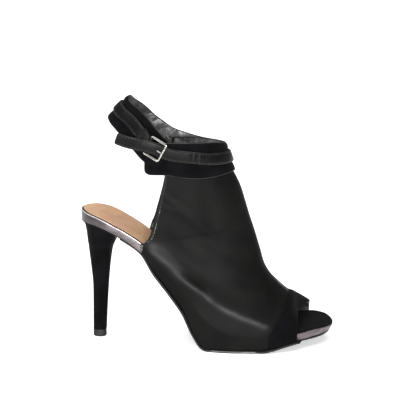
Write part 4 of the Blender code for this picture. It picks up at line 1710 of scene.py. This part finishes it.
@dataclass(frozen=True)
class Upper:
    """Leather quarters and vamp in one hollow wall, the suede band, seams, edges and stitches."""

    last: Last
    calf: Material
    lining: Material
    edge: Material
    wear_and_shade: Material
    suede: Material
    seam: Material
    thread: Material
    band_row: float = 2.0
    bound_row: float = 8.3
    bound_strips: int = 2
    rubbed_top: float = 0.1285
    collar_row: float = 13.85
    set_back: float = 0.016
    collar_dip: float = 0.030
    dip_rows: Pair = (10, 14)
    sweep: Pair = (-0.30, 0.66)
    hem: float = 0.0008
    sections: int = 170
    points: int = 72
    arch_points: int = 160
    strip_points: int = 16
    sole_fade: Pair = (0.012, 0.035)
    cuff_fade: Pair = (0.138, 0.146)
    uneven: tuple[tuple[float, float, int], ...] = ((0.00022, 0.045, 3), (0.00006, 0.019, 4))
    band_sections: int = 40
    band_puff: float = 0.0003
    band_lift: float = 0.0001
    skived_rows: float = 0.4
    skived: float = 0.0009
    seam_ends: Pair = (0.12, 0.2)
    seam_stations: int = 120
    seam_points: int = 30
    seam_radius: float = 0.0003
    rim_start: float = 0.2
    rim_radius: float = 0.0004
    rubbed_radius: float = 0.00022
    cord_step: float = 0.001
    cord_sides: int = 8
    stitch_rows: Pair = (10.4, 11.6)
    stitch_stations: int = 60
    stitch_points: int = 120
    stitch_columns: tuple[int, int] = (3, -4)
    stitch_pitch: float = 0.0028

    def half_section(self, u: float, side: Side, count: int, hem: float) -> Array:
        """Give one half section of the outside, from its lower edge to the seam.

        The arch is a superellipse: heart, plus the way to the seam times a power of the sine, plus the
        way to the foot times a power of the cosine. Near the peep toe it then moves forwards by a
        smooth step of its place across. Below the foot it runs down round the platform.

        Args:
            u: row of the table, with parts of a row between.
            side: side of the shoe.
            count: points, evenly apart.
            hem: gap over the outsole.

        Returns:
            Points of the half section.
        """
        last = self.last
        index = np.arange(len(SECTIONS["foot"]))
        row = {key: float(smooth(index, SECTIONS[key], u)) for key in SECTIONS}
        medial = side is Side.MEDIAL
        toe = 1 - float(ease(u, 0, self.band_row))
        skew = last.toe_skew if medial else 0.0
        foot = row["foot"] + skew * toe - (self.set_back * (1 - row["wrap"]) if medial else 0)
        dip = self.collar_dip * float(ease(u, *self.dip_rows)) if medial else 0
        lift = row["lift"] - dip
        sign = side.value
        cover = last.fit + last.upper_wall
        width = float(last.half_width(foot, side)) + cover + row[side.name.lower()] * last.half_ball
        middle, bed = float(last.centre(foot)), float(last.bed(foot))
        base = np.array([last.to_x(foot), middle + sign * width, bed + lift * last.collar])
        heart = np.array([base[0], middle, base[2]])
        top = np.array([last.to_x(row["top"]), row["seam"] * last.half_ball, row["rise"] * last.collar])
        angle = np.linspace(0, np.pi / 2, self.arch_points)[:, None]
        power = 2 / row["full"]
        arch = heart + (top - heart) * np.sin(angle) ** power + (base - heart) * np.cos(angle) ** power
        reach = SECTIONS["top"][0] - SECTIONS["foot"][0] - skew
        plain = skew + reach * np.sin(angle[:, 0]) ** power
        swept = last.toe_skew * ease(arch[:, 1] / last.half_ball, *self.sweep)
        arch[:, 0] += (swept - plain) * toe * last.length
        low = float(last.sole_top(foot) + hem * last.steepness(last.under, foot))
        down = max(bed - low, 0.0) * row["wrap"]
        lean = float(last.tuck(foot, low)) * row["wrap"]
        drop = np.linspace(1, 0, self.strip_points)[:-1, None]
        strip = base + drop * np.array([0, -sign * lean, -down])
        line = np.vstack([strip, arch]) if down > THIN else arch
        run = run_length(line)
        return read_line(np.linspace(0, run[-1], count), run, line)

    def grid(self, rows: Array, count: int, hem: float) -> Array:
        """Give the outside as sections by points, from the medial edge to the lateral one.

        Args:
            rows: row of the table for each section.
            count: points in a half section.
            hem: gap over the outsole.

        Returns:
            Points of the outside.
        """
        made = []
        for u in rows:
            lateral = self.half_section(u, Side.LATERAL, count, hem)
            medial = self.half_section(u, Side.MEDIAL, count, hem)
            made.append(np.vstack([medial, lateral[-2::-1]]))
        return np.array(made)

    def worn(self, grid: Array) -> Array:
        """Press the creases and a slight unevenness into the outside.

        Args:
            grid: points of the smooth outside.

        Returns:
            The points, moved along their normals.
        """
        move = sum(crease.relief(grid) for crease in CREASES)
        tall = grid[..., 2]
        free = ease(tall, *self.sole_fade) * (1 - ease(tall, *self.cuff_fade))
        uneven = sum(waves(grid, size, seed) * height for height, size, seed in self.uneven)
        return grid + normals(grid) * ((move + uneven) * free)[..., None]

    def build(self) -> None:
        """Make the leather, the band, the front seam, the quarter edges and the stitches."""
        rows = np.linspace(0, self.collar_row, self.sections)
        leather = self.worn(self.grid(rows, self.points, self.hem))
        mesh = sheet_mesh("leather_upper", leather)
        strips = leather.shape[1] - 1
        from_edge = np.minimum(np.arange(strips), np.arange(strips)[::-1])
        bound = (rows[:-1, None] > self.bound_row) & (from_edge[None] < self.bound_strips)
        mesh.polygons.foreach_set("material_index", np.where(bound, 2, 0).ravel())
        finishes = [self.calf, self.lining, self.edge]
        upper = add_piece("leather_upper", mesh, finishes, "upper", CRISP_SHEET)
        give_wall(upper, self.last.upper_wall, -1, 1, 2)
        self.add_band()
        self.add_seam()
        self.add_quarter_edges(rows, leather)
        self.add_stitches()

    def add_band(self) -> None:
        """Add the suede band over the peep toe, skived thin along its rear edge."""
        rows = np.linspace(0, self.band_row, self.band_sections)
        fine = self.grid(rows, self.points, 2 * self.hem)
        puff = np.sin(np.pi * rows / self.band_row) ** 0.5 * self.band_puff
        skived = ease(rows, self.band_row - self.skived_rows, self.band_row) * self.skived
        lift = self.last.gap + self.band_lift + puff - skived
        band = sheet_mesh("suede_toe_band", fine + normals(fine) * lift[:, None, None])
        finishes = [self.suede, self.suede, self.suede]
        piece = add_piece("suede_toe_band", band, finishes, "toe_band", CRISP_SHEET)
        give_wall(piece, self.last.band_wall, 1, 1, 2)

    def add_seam(self) -> None:
        """Add the pressed seam that runs down the front from the cuff to the band."""
        start, end = self.band_row + self.seam_ends[0], self.collar_row - self.seam_ends[1]
        rows = np.linspace(start, end, self.seam_stations)
        line = self.worn(self.grid(rows, self.seam_points, self.hem))[:, self.seam_points - 1]
        rings = sweep(line, round_section(self.seam_radius, self.cord_sides), LEFT)
        # the seam's pale grey is a painted highlight along the front contour
        add_piece("front_seam", ring_mesh("front_seam", rings), [self.seam])

    def add_quarter_edges(self, rows: Array, leather: Array) -> None:
        """Add the turned edge up the rear of each quarter and the rubbed seam inside it.

        Args:
            rows: row of each section.
            leather: points of the outside, as sections by points.
        """
        rear = leather[rows > self.bound_row + self.rim_start]
        low = rear[rear[:, -1, 2] < self.rubbed_top]
        inside = self.bound_strips
        lines = (
            ("medial_quarter_rim", rear[:, 0], self.rim_radius, self.edge),
            ("lateral_quarter_rim", rear[:, -1], self.rim_radius, self.edge),
            ("medial_rubbed_seam", low[:, inside], self.rubbed_radius, self.wear_and_shade),
            ("lateral_rubbed_seam", low[:, -1 - inside], self.rubbed_radius, self.wear_and_shade),
        )
        for name, line, radius, finish in lines:
            section = round_section(radius, self.cord_sides)
            rings = sweep(resample(line, self.cord_step), section, LEFT)
            add_piece(name, ring_mesh(name, rings), [finish])

    def add_stitches(self) -> None:
        """Sew the quarters' rear edges above the rubbed seam."""
        rows = np.linspace(*self.stitch_rows, self.stitch_stations)
        grid = self.worn(self.grid(rows, self.stitch_points, self.hem))
        faces = normals(grid)
        runs = [(grid[:, column], faces[:, column]) for column in self.stitch_columns]
        mesh = stitch_mesh("upper_stitches", runs, self.stitch_pitch)
        add_piece("upper_stitches", mesh, [self.thread])


# A stitch: its length as a share of the pitch, half its thickness, how far its middle stands out and
# how far its ends dip, and how many rings and points it has
STITCH_SHARE = 0.74
STITCH_RADIUS = 0.00021
STITCH_RISE = 0.00008
STITCH_DIP = 0.00022
STITCH_RINGS = 7
STITCH_SIDES = 6


def stitch_mesh(name: str, runs: list[tuple[Array, Array]], pitch: float) -> Mesh:
    """Make rows of stitches: short spindles that dip into the leather at both ends.

    A ring's radius goes with the root of 1 less the square of its place along the spindle, and its
    height falls off with that square.

    Args:
        name: name of the mesh.
        runs: for each row its points and the outward directions there.
        pitch: distance from stitch to stitch.

    Returns:
        One mesh with all stitches.
    """
    rings, sides = STITCH_RINGS, STITCH_SIDES
    size = rings * sides
    place = np.linspace(-1, 1, rings)
    ring = round_section(1.0, sides)
    wide = STITCH_RADIUS * np.sqrt(np.maximum(1 - place**2, 0.02))
    height = STITCH_RISE - STITCH_DIP * place[:, None] ** 2
    template = np.zeros((rings, sides, 3))
    template[..., 0] = place[:, None] * (pitch * STITCH_SHARE) / 2
    template[..., 1] = ring[:, 0] * wide[:, None]
    template[..., 2] = ring[:, 1] * wide[:, None] + height
    quads = grid_faces(rings, sides, False, True)
    points, faces, ends = [], [], []
    total = 0
    for line, outward in runs:
        run = run_length(line)
        middle = np.arange(pitch / 2, run[-1], pitch)
        at = read_line(middle, run, line)
        up = unit(read_line(middle, run, outward))
        ahead = read_line(middle, run, np.gradient(line, run, axis=0))
        ahead = unit(ahead - (ahead * up).sum(1, keepdims=True) * up)
        axes = np.stack([ahead, np.cross(up, ahead), up], axis=1)
        made = at[:, None] + template.reshape(-1, 3) @ axes
        start = total + np.arange(len(middle)) * size
        faces.append((quads[None] + start[:, None, None]).reshape(-1, 4))
        ends += [[*range(s, s + sides)][::-1] for s in start]
        ends += [[*range(s + size - sides, s + size)] for s in start]
        points.append(made.reshape(-1, 3))
        total += len(middle) * size
    mesh = bpy.data.meshes.new(name)
    mesh.from_pydata(np.vstack(points).tolist(), [], np.vstack(faces).tolist() + ends)
    bm = bmesh.new()
    bm.from_mesh(mesh)
    bmesh.ops.recalc_face_normals(bm, faces=bm.faces)
    bm.to_mesh(mesh)
    bm.free()
    return mesh


# The ankle cuff and its belt


def rounded_ends(run: Array, length: float, width: Array, corner: float) -> Array:
    """Give the share of a strap's width that is left near its rounded ends.

    Within a corner's reach of an end, a quarter circle is cut from both edges.

    Args:
        run: places along the strap.
        length: length of the strap.
        width: its full width.
        corner: radius of the corners.

    Returns:
        Share of the width at each place.
    """
    reach = np.clip(np.minimum(run, length - run), 0, corner)
    cut = corner - np.sqrt(np.maximum(corner**2 - (corner - reach) ** 2, 0))
    return 1 - 2 * cut / width


def strap_places(length: float, corner: float, count: int) -> Array:
    """Give places along a strap, close together in its rounded ends."""
    end = corner * (1 - np.cos(np.linspace(0, np.pi / 2, 9)[:-1]))
    return np.concatenate([end, np.linspace(corner, length - corner, count), length - end[::-1]])


EDGE_BULGE = 0.7  # how far a strap's edge stands out, as a share of half its wall


def strap_rings(inner: Array, outer: Array, steps: int = 4) -> tuple[Array, Array]:
    """Close a strap round: inner face, half round edge, outer face, half round edge.

    An edge point is the middle of the wall, less the cosine along the wall, plus the sine along the
    way out of the strap, times half the wall.

    Args:
        inner: points of the inner face, as stations by points across.
        outer: points of the outer face.
        steps: points in each edge.

    Returns:
        The rings, and the material number of each strip: 0 outside, 1 inside, 2 edge.
    """
    angle = np.linspace(0, np.pi, steps + 2)[1:-1]
    edges = []
    for near, beside in ((-1, -2), (0, 1)):
        middle = (inner[:, near] + outer[:, near]) / 2
        half = (outer[:, near] - inner[:, near]) / 2
        out = unit(middle - (inner[:, beside] + outer[:, beside]) / 2)
        out = out * np.linalg.norm(half, axis=1, keepdims=True) * EDGE_BULGE
        turn = (angle if near == -1 else np.pi - angle)[:, None]
        edges.append(middle[:, None] - half[:, None] * np.cos(turn) + out[:, None] * np.sin(turn))
    rings = np.concatenate([inner, edges[0], outer[:, ::-1], edges[1]], axis=1)
    count = inner.shape[1]
    numbers = [1] * (count - 1) + [2] * (steps + 1) + [0] * (count - 1) + [2] * (steps + 1)
    return rings, np.array(numbers)


@dataclass(frozen=True)
class AnkleCuff:
    """Suede cuff round the ankle, one strap from the lateral wing round to the back wing."""

    last: Last
    upper: Upper
    suede: Material
    lining: Material
    edge: Material
    wall: float = 0.0018
    corner: float = 0.005
    points_across: int = 25
    stations: int = 260
    first_row: float = 11.5
    side_sections: int = 24
    side_points: int = 25
    side_reach: float = 0.97
    side_stations: int = 15
    route_across: int = 5
    route_stations: int = 64
    route_end: tuple[float, ...] = (0.0, 0.06, 0.25, 0.6)
    puff_span: Pair = (0.2, 0.3)
    puff_height: float = 0.0007
    puff_swing: tuple[float, float, int] = (0.0004, 0.035, 11)
    sway: tuple[float, float, int] = (0.0002, 0.05, 12)

    def free_rows(self, rows: dict[str, Array], across: Array) -> Array:
        """Give the stations of a free end, each with points from its low to its high edge.

        Args:
            rows: table of the end's edges.
            across: places from the low edge to the high one.

        Returns:
            Points as stations by places across.
        """
        spots = self.last.spots
        low = spots(rows["low"], rows["low_y"], rows["low_z"])
        high = spots(rows["high"], rows["high_y"], rows["high_z"])
        return low[:, None] + (high - low)[:, None] * across[None, :, None]

    def rows_on_upper(self, across: Array) -> Array:
        """Give the stations that lie on the upper, at the heights of the table.

        Args:
            across: places from the low edge to the high one.

        Returns:
            Points as stations by places across.
        """
        u = np.linspace(self.first_row, len(SECTIONS["foot"]) - 1, self.side_sections)
        count = self.side_points
        grid = self.upper.grid(u, count, self.upper.hem)
        lifted = grid + normals(grid) * self.last.gap
        places = np.linspace(-self.side_reach, self.side_reach, self.side_stations)
        low = flow(CUFF_ON_UPPER["across"], CUFF_ON_UPPER["low"], places) * self.last.collar
        high = flow(CUFF_ON_UPPER["across"], CUFF_ON_UPPER["high"], places) * self.last.collar
        made = []
        for place, start, end in zip(places, low, high):
            column = (1 - place) * (count - 1)
            left = int(min(column, 2 * count - 3))
            part = column - left
            line = lifted[:, left] * (1 - part) + lifted[:, left + 1] * part
            made.append(read_line(start + (end - start) * across, line[:, 2], line))
        return np.array(made)

    def rows(self, across: Array) -> Array:
        """Give all stations from the lateral wing round to the end of the back wing."""
        wings = self.free_rows(WING, across), self.free_rows(BACK_WING, across)
        return np.concatenate([wings[0], self.rows_on_upper(across), wings[1]])

    def coarse(self) -> Array:
        """Give the inner face as the belt's route needs it: few points across, its middle at 2."""
        rows = self.rows(np.linspace(0, 1, self.route_across))
        run = run_length(rows[:, 2])
        end = self.corner * np.array(self.route_end)
        middle = np.linspace(self.corner, run[-1] - self.corner, self.route_stations)
        return flow(run, rows, np.concatenate([end, middle, run[-1] - end[::-1]]))

    def build(self) -> None:
        """Make the cuff.

        The outer face is the inner face plus the wall along the normals. Above and below the belt the
        suede puffs out, a sine of the place across, with a soft unevenness along it.
        """
        across = np.linspace(0, 1, self.points_across)
        rows = self.rows(across)
        middle = self.points_across // 2
        run = run_length(rows[:, middle])
        places = strap_places(run[-1], self.corner, self.stations)
        even = flow(run, rows, places)
        outward = normals(even)
        width = np.linalg.norm(even[:, -1] - even[:, 0], axis=1)
        left = rounded_ends(places, run[-1], width - self.wall, self.corner)
        left = left * (1 - self.wall / width)
        share = 0.5 + (across[None] - 0.5) * left[:, None]
        inner, face = np.empty_like(even), np.empty_like(even)
        for axis in range(3):
            for k, wanted in enumerate(share):
                inner[k, :, axis] = np.interp(wanted, across, even[k, :, axis])
                face[k, :, axis] = np.interp(wanted, across, outward[k, :, axis])
        face = unit(face)
        start, reach = self.puff_span
        puff = np.clip(np.abs(share - 0.5) - start, 0, None) / reach
        swing, size, seed = self.puff_swing
        tall = self.puff_height + swing * waves(inner, size, seed)
        puff = np.sin(np.pi * np.clip(puff, 0, 1)) * tall
        swing, size, seed = self.sway
        sway = waves(inner, size, seed) * swing
        outer = inner + face * (self.wall + np.maximum(puff + sway * (puff > 0), 0))[..., None]
        rings, numbers = strap_rings(inner, outer)
        mesh = ring_mesh("suede_ankle_cuff", rings, columns=numbers)
        finishes = [self.suede, self.lining, self.edge]
        add_piece("suede_ankle_cuff", mesh, finishes, "cuff", CRISP_SHEET)


@dataclass(frozen=True)
class Belt:
    """Leather belt round the cuff, with its loop, folded end, buckle and stitches."""

    last: Last
    cuff: AnkleCuff
    calf: Material
    edge: Material
    thread: Material
    nickel: Material
    width: float = 0.0098
    wall: float = 0.0018
    corner: float = 0.0015
    gap: float = 0.0005
    bar: Triple = (0.2893, -0.985, 1.0052)
    front: Triple = (0.3440, -1.062, 0.9680)
    buckle_length: float = 0.0135
    buckle_height: float = 0.0148
    buckle_corner: float = 0.0013
    rod: float = 0.001
    prong_rod: float = 0.0007
    stations: int = 330
    route_stations: int = 48
    points_across: int = 11
    crown: float = 0.00035
    thinning: float = 0.0002
    dents: tuple[Triple, ...] = ((0.00042, 0.068, 0.0014), (0.00032, 0.0635, 0.0011))
    stitch_margin: int = 6
    stitch_pitch: float = 0.0026
    loop_place: float = 0.0055
    loop_room: float = 0.00105
    loop_half_wall: float = 0.00045
    loop_half_width: float = 0.00175
    loop_powers: Pair = (0.35, 0.4)
    fold_wall: Pair = (0.0009, 0.0007)
    fold_power: float = 0.9
    rod_power: float = 0.75
    rod_depth: float = 0.9
    prong: tuple[Pair, ...] = (
        (-0.0048, 0.8),
        (-0.0030, 1.0),
        (-0.0015, 1.15),
        (0.0, 1.1),
        (0.0011, 0.95),
    )
    prong_taper: tuple[tuple[float, ...], ...] = ((0, 0.12, 0.85, 1), (0.55, 1, 0.9, 0.45))

    def line(self) -> tuple[Array, Array]:
        """Give the middle line of the belt's inner face and the outward direction along it."""
        cuff = self.cuff.coarse()
        outward = normals(cuff)
        run = run_length(cuff[:, 2])
        shares = np.linspace(BELT_ON_CUFF["run"][0], BELT_ON_CUFF["run"][-1], self.route_stations)
        places = flow(-BELT_ON_CUFF["run"], BELT_ON_CUFF["across"], -shares)
        at = shares * run[-1]
        face = unit(read_line(at, run, outward[:, 2]))
        width = read_line(at, run, cuff[:, -1] - cuff[:, 0])
        points = read_line(at, run, cuff[:, 2]) + width * (places[:, None] - 0.5)
        points = points + face * (self.cuff.wall + self.gap)
        side = np.array([0.0, -1.0, 0.0])
        start, end = (self.last.spots(**rows) for rows in (BELT_START, BELT_END))
        faces = np.vstack([[side] * len(start), face, [side] * len(end)])
        return np.vstack([start, points, end]), faces

    def strap(self, count: int, across: Array) -> tuple[Array, Array]:
        """Give the belt's inner face and outward directions.

        Args:
            count: stations along the belt.
            across: places across, from -0.5 to 0.5.

        Returns:
            Points as stations by places, and the outward direction of each station.
        """
        points, faces = self.line()
        run = run_length(points)
        places = strap_places(run[-1], self.corner, count)
        line = flow(run, points, places)
        outward = unit(flow(run, faces, places))
        ahead = unit(np.gradient(line, places, axis=0))
        rise = unit(np.cross(outward, ahead))
        left = rounded_ends(places, run[-1], self.width, self.corner)
        flat = self.width - self.wall * EDGE_BULGE
        shift = across[None, :, None] * left[:, None, None] * flat
        return line[:, None] + rise[:, None] * shift, unit(np.cross(ahead, rise))

    def build(self) -> None:
        """Make the belt, its loop, fold, stitches and buckle.

        The outer face is crowned: the crown goes with 1 less the square of the place across. A dent is
        a bell curve of the run along the belt.
        """
        across = np.linspace(-0.5, 0.5, self.points_across)
        inner, face = self.strap(self.stations, across)
        run = run_length(inner[:, self.points_across // 2])
        left = run - run[-1]
        crown = (1 - (2 * across) ** 2) * self.crown
        dents = sum(deep * np.exp(-(((left + back) / wide) ** 2)) for deep, back, wide in self.dents)
        high = self.wall - self.thinning + crown[None] - dents[:, None]
        outer = inner + face[:, None] * high[..., None]
        rings, numbers = strap_rings(inner, outer)
        mesh = ring_mesh("leather_belt", rings, columns=numbers)
        finishes = [self.calf, self.calf, self.edge]
        add_piece("leather_belt", mesh, finishes, "belt", CRISP_SHEET)
        sewn = slice(self.stitch_margin, -self.stitch_margin)
        runs = [(outer[sewn, column], face[sewn]) for column in (1, -2)]
        stitches = stitch_mesh("belt_stitches", runs, self.stitch_pitch)
        add_piece("belt_stitches", stitches, [self.thread])
        self.add_loop(inner, face)
        self.add_buckle()

    def add_loop(self, inner: Array, face: Array) -> None:
        """Add the flat loop that holds the belt just behind the buckle.

        Args:
            inner: points of the belt's inner face, as stations by places across.
            face: outward direction of each station.
        """
        line = inner[:, self.points_across // 2]
        at = int(np.searchsorted(run_length(line), self.loop_place))
        middle = line[at] + face[at] * self.wall / 2
        ahead = unit(line[at + 1] - line[at - 1])
        rise = unit(inner[at, -1] - inner[at, 0])
        room = self.loop_room
        path = oval_section(self.width / 2 + room, self.wall / 2 + room, self.loop_powers[0], 72)
        line = middle + path[:, :1] * rise + path[:, 1:] * face[at]
        section = oval_section(self.loop_half_wall, self.loop_half_width, self.loop_powers[1], 16)
        rings = sweep(line, section, ahead, True)
        mesh = ring_mesh("belt_loop", rings, True)
        add_piece("belt_loop", mesh, [self.calf], "belt_keeper")

    def add_fold(self, bar: Array, across: Array, outward: Array) -> None:
        """Fold the belt's end round the buckle's bar: an oval carried along the bar.

        Args:
            bar: middle of the bar.
            across: direction of the bar.
            outward: direction away from the ankle.
        """
        reach = self.buckle_height / 2 - self.rod * 0.4
        line = bar + np.linspace(-reach, reach, 24)[:, None] * across
        side, up = self.fold_wall
        section = oval_section(self.rod + side, self.rod + up, self.fold_power, 20)
        rings = sweep(line, section, outward)
        mesh = ring_mesh("belt_fold", rings)
        add_piece("belt_fold", mesh, [self.calf], angle=CRISP_BUCKLE)

    def axes(self) -> tuple[Array, Array, Array, Array]:
        """Give the middles of the bar and of the front side, and the ways along and across."""
        bar, front = self.last.spots(**table("along y z", self.bar, self.front))
        forward = unit(front - bar)
        across = unit(np.cross(forward, [0, -1, 0]))
        return bar, bar + forward * self.buckle_length, forward, across

    def add_buckle(self) -> None:
        """Add the frame, a rounded rectangle swept by a soft square rod, and the prong."""
        bar, front, forward, across = self.axes()
        half = self.buckle_height / 2
        corner = self.buckle_corner
        turn = np.linspace(0, np.pi / 2, 7)
        loop = []
        for start, sx, sy in ((0, 1, 1), (1, -1, 1), (2, -1, -1), (3, 1, -1)):
            angle = turn + start * np.pi / 2
            centre_x = sx * (self.buckle_length / 2 - corner)
            centre_y = sy * (half - corner)
            arc = np.stack([np.cos(angle), np.sin(angle)], axis=1) * corner
            loop.append(arc + np.array([centre_x, centre_y]))
        flat = np.vstack(loop)
        middle = (bar + front) / 2
        line = middle + flat[:, :1] * forward + flat[:, 1:] * across
        outward = np.cross(across, forward)
        outward = outward * -np.sign(outward[1])
        self.add_fold(bar, across, outward)
        section = oval_section(self.rod, self.rod * self.rod_depth, self.rod_power, 16)
        rings = sweep(line, section, outward, True)
        mesh = ring_mesh("nickel_buckle", rings, True)
        add_piece("nickel_buckle", mesh, [self.nickel], "buckle_frame", CRISP_BUCKLE)
        over = outward * (self.rod + self.prong_rod)
        knots = np.array([front + forward * ahead + over * high for ahead, high in self.prong])
        line = flow(run_length(knots), knots, np.linspace(0, run_length(knots)[-1], 20))
        taper = np.interp(np.linspace(0, 1, 20), *self.prong_taper)
        section = round_section(self.prong_rod, 12)[None] * taper[:, None, None]
        mesh = ring_mesh("nickel_prong", sweep(line, section, outward))
        add_piece("nickel_prong", mesh, [self.nickel], "buckle_prong")


# The studio


@dataclass(frozen=True)
class SoftBox:
    """A rectangular light: its place, width and height, and watts."""

    name: str
    spot: Triple
    size: Pair
    power: float


# The key lights the whole side; the streak is low and wide and draws the highlight along the ridge
SOFT_BOXES = (
    SoftBox("key", (-0.75, -1.0, 0.62), (0.35, 0.5), 4.0),
    SoftBox("streak", (0.05, -1.2, 0.24), (0.6, 0.08), 21.0),
)


@dataclass(frozen=True)
class Studio:
    """Floor, soft light and the camera at the photograph's angle."""

    target: Triple = (-0.032, 0.0, 0.12025)
    azimuth: float = 5.0
    elevation: float = 12.5
    distance: float = 1.0
    lens: float = 108.0
    sensor: float = 36.0
    surround: float = 0.30
    ceiling: float = 2.75
    ceiling_spread: float = 75.0
    paper_glow: float = 0.35
    half_floor: float = 8.0
    middle: Triple = (-0.03, 0.0, 0.08)
    sun_place: Triple = (-0.15, -0.1, 1.0)

    def aim(self, thing: Object, spot: Array) -> None:
        """Turn a camera or light at its place to look at a spot."""
        way = Vector(spot) - thing.location
        thing.rotation_euler = way.to_track_quat("-Z", "Y").to_euler()

    def add_light(self, box: SoftBox) -> None:
        """Add one soft box, aimed at the middle of the shoe.

        Args:
            box: the soft box.
        """
        data = bpy.data.lights.new(box.name, "AREA")
        data.shape = "RECTANGLE"
        data.size, data.size_y = box.size
        data.energy = box.power
        light = bpy.data.objects.new(box.name, data)
        light.location = box.spot
        bpy.context.scene.collection.objects.link(light)
        self.aim(light, self.middle)

    def build(self) -> None:
        """Set up the world, floor, lights and camera."""
        scene = bpy.context.scene
        scene.view_settings.view_transform = "Standard"
        world = bpy.data.worlds.new("studio")
        scene.world = world
        world.use_nodes = True
        background = world.node_tree.nodes["Background"]
        background.inputs["Color"].default_value = (1.0, 1.0, 1.0, 1.0)
        background.inputs["Strength"].default_value = self.surround
        size = self.half_floor
        floor = bpy.data.meshes.new("floor")
        corners = [(-size, -size, 0), (size, -size, 0), (size, size, 0), (-size, size, 0)]
        floor.from_pydata(corners, [], [(0, 1, 2, 3)])
        white = PAPER.build()
        shader = white.node_tree.nodes["Principled BSDF"]
        shader.inputs["Emission Color"].default_value = (1.0, 1.0, 1.0, 1.0)
        shader.inputs["Emission Strength"].default_value = self.paper_glow
        floor.materials.append(white)
        ground = bpy.data.objects.new("floor", floor)
        scene.collection.objects.link(ground)
        for box in SOFT_BOXES:
            self.add_light(box)
        data = bpy.data.lights.new("ceiling", "SUN")
        data.energy = self.ceiling
        data.angle = math.radians(self.ceiling_spread)
        ceiling = bpy.data.objects.new("ceiling", data)
        ceiling.location = self.sun_place
        scene.collection.objects.link(ceiling)
        self.aim(ceiling, (0.0, 0.0, 0.0))
        up, turn = math.radians(self.elevation), math.radians(self.azimuth)
        flat = math.cos(up)
        way = np.array([math.sin(turn) * flat, -math.cos(turn) * flat, math.sin(up)])
        data = bpy.data.cameras.new("camera")
        data.lens = self.lens
        data.sensor_width = self.sensor
        camera = bpy.data.objects.new("camera", data)
        camera.location = np.array(self.target) + way * self.distance
        scene.collection.objects.link(camera)
        self.aim(camera, np.array(self.target))
        scene.camera = camera


def main() -> None:
    """Build the shoe's pieces in order."""
    logging.basicConfig(level=logging.INFO, format="%(message)s")
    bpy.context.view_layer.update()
    calf, suede, edge = CALF.build(), SUEDE.build(), EDGE.build()
    lining, rubber, thread = LINING.build(), RUBBER.build(), THREAD.build()
    # the lighter grey on the straps' edges is a painted highlight
    strap_edge = STRAP_EDGE_HIGHLIGHT.build()
    last = Last()
    Studio().build()
    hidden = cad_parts["platform"]
    hidden.data.materials.clear()
    hidden.data.materials.append(suede)
    edge_highlight, pewter, piping, tan = (finish.build() for finish in (SOLE_EDGE_HIGHLIGHT, PEWTER, PIPING_HIGHLIGHT, INSOLE))
    Sole(last, rubber, edge_highlight, pewter, piping, tan, suede, edge).build()
    Stiletto(last, suede, rubber).build()
    upper = Upper(last, calf, lining, edge, RUBBED_SEAM.build(), suede, FRONT_SEAM_HIGHLIGHT.build(), thread)
    upper.build()
    cuff = AnkleCuff(last, upper, suede, lining, strap_edge)
    cuff.build()
    Belt(last, cuff, BELT_CALF.build(), strap_edge, thread, NICKEL.build()).build()


if __name__ == "__main__":
    main()
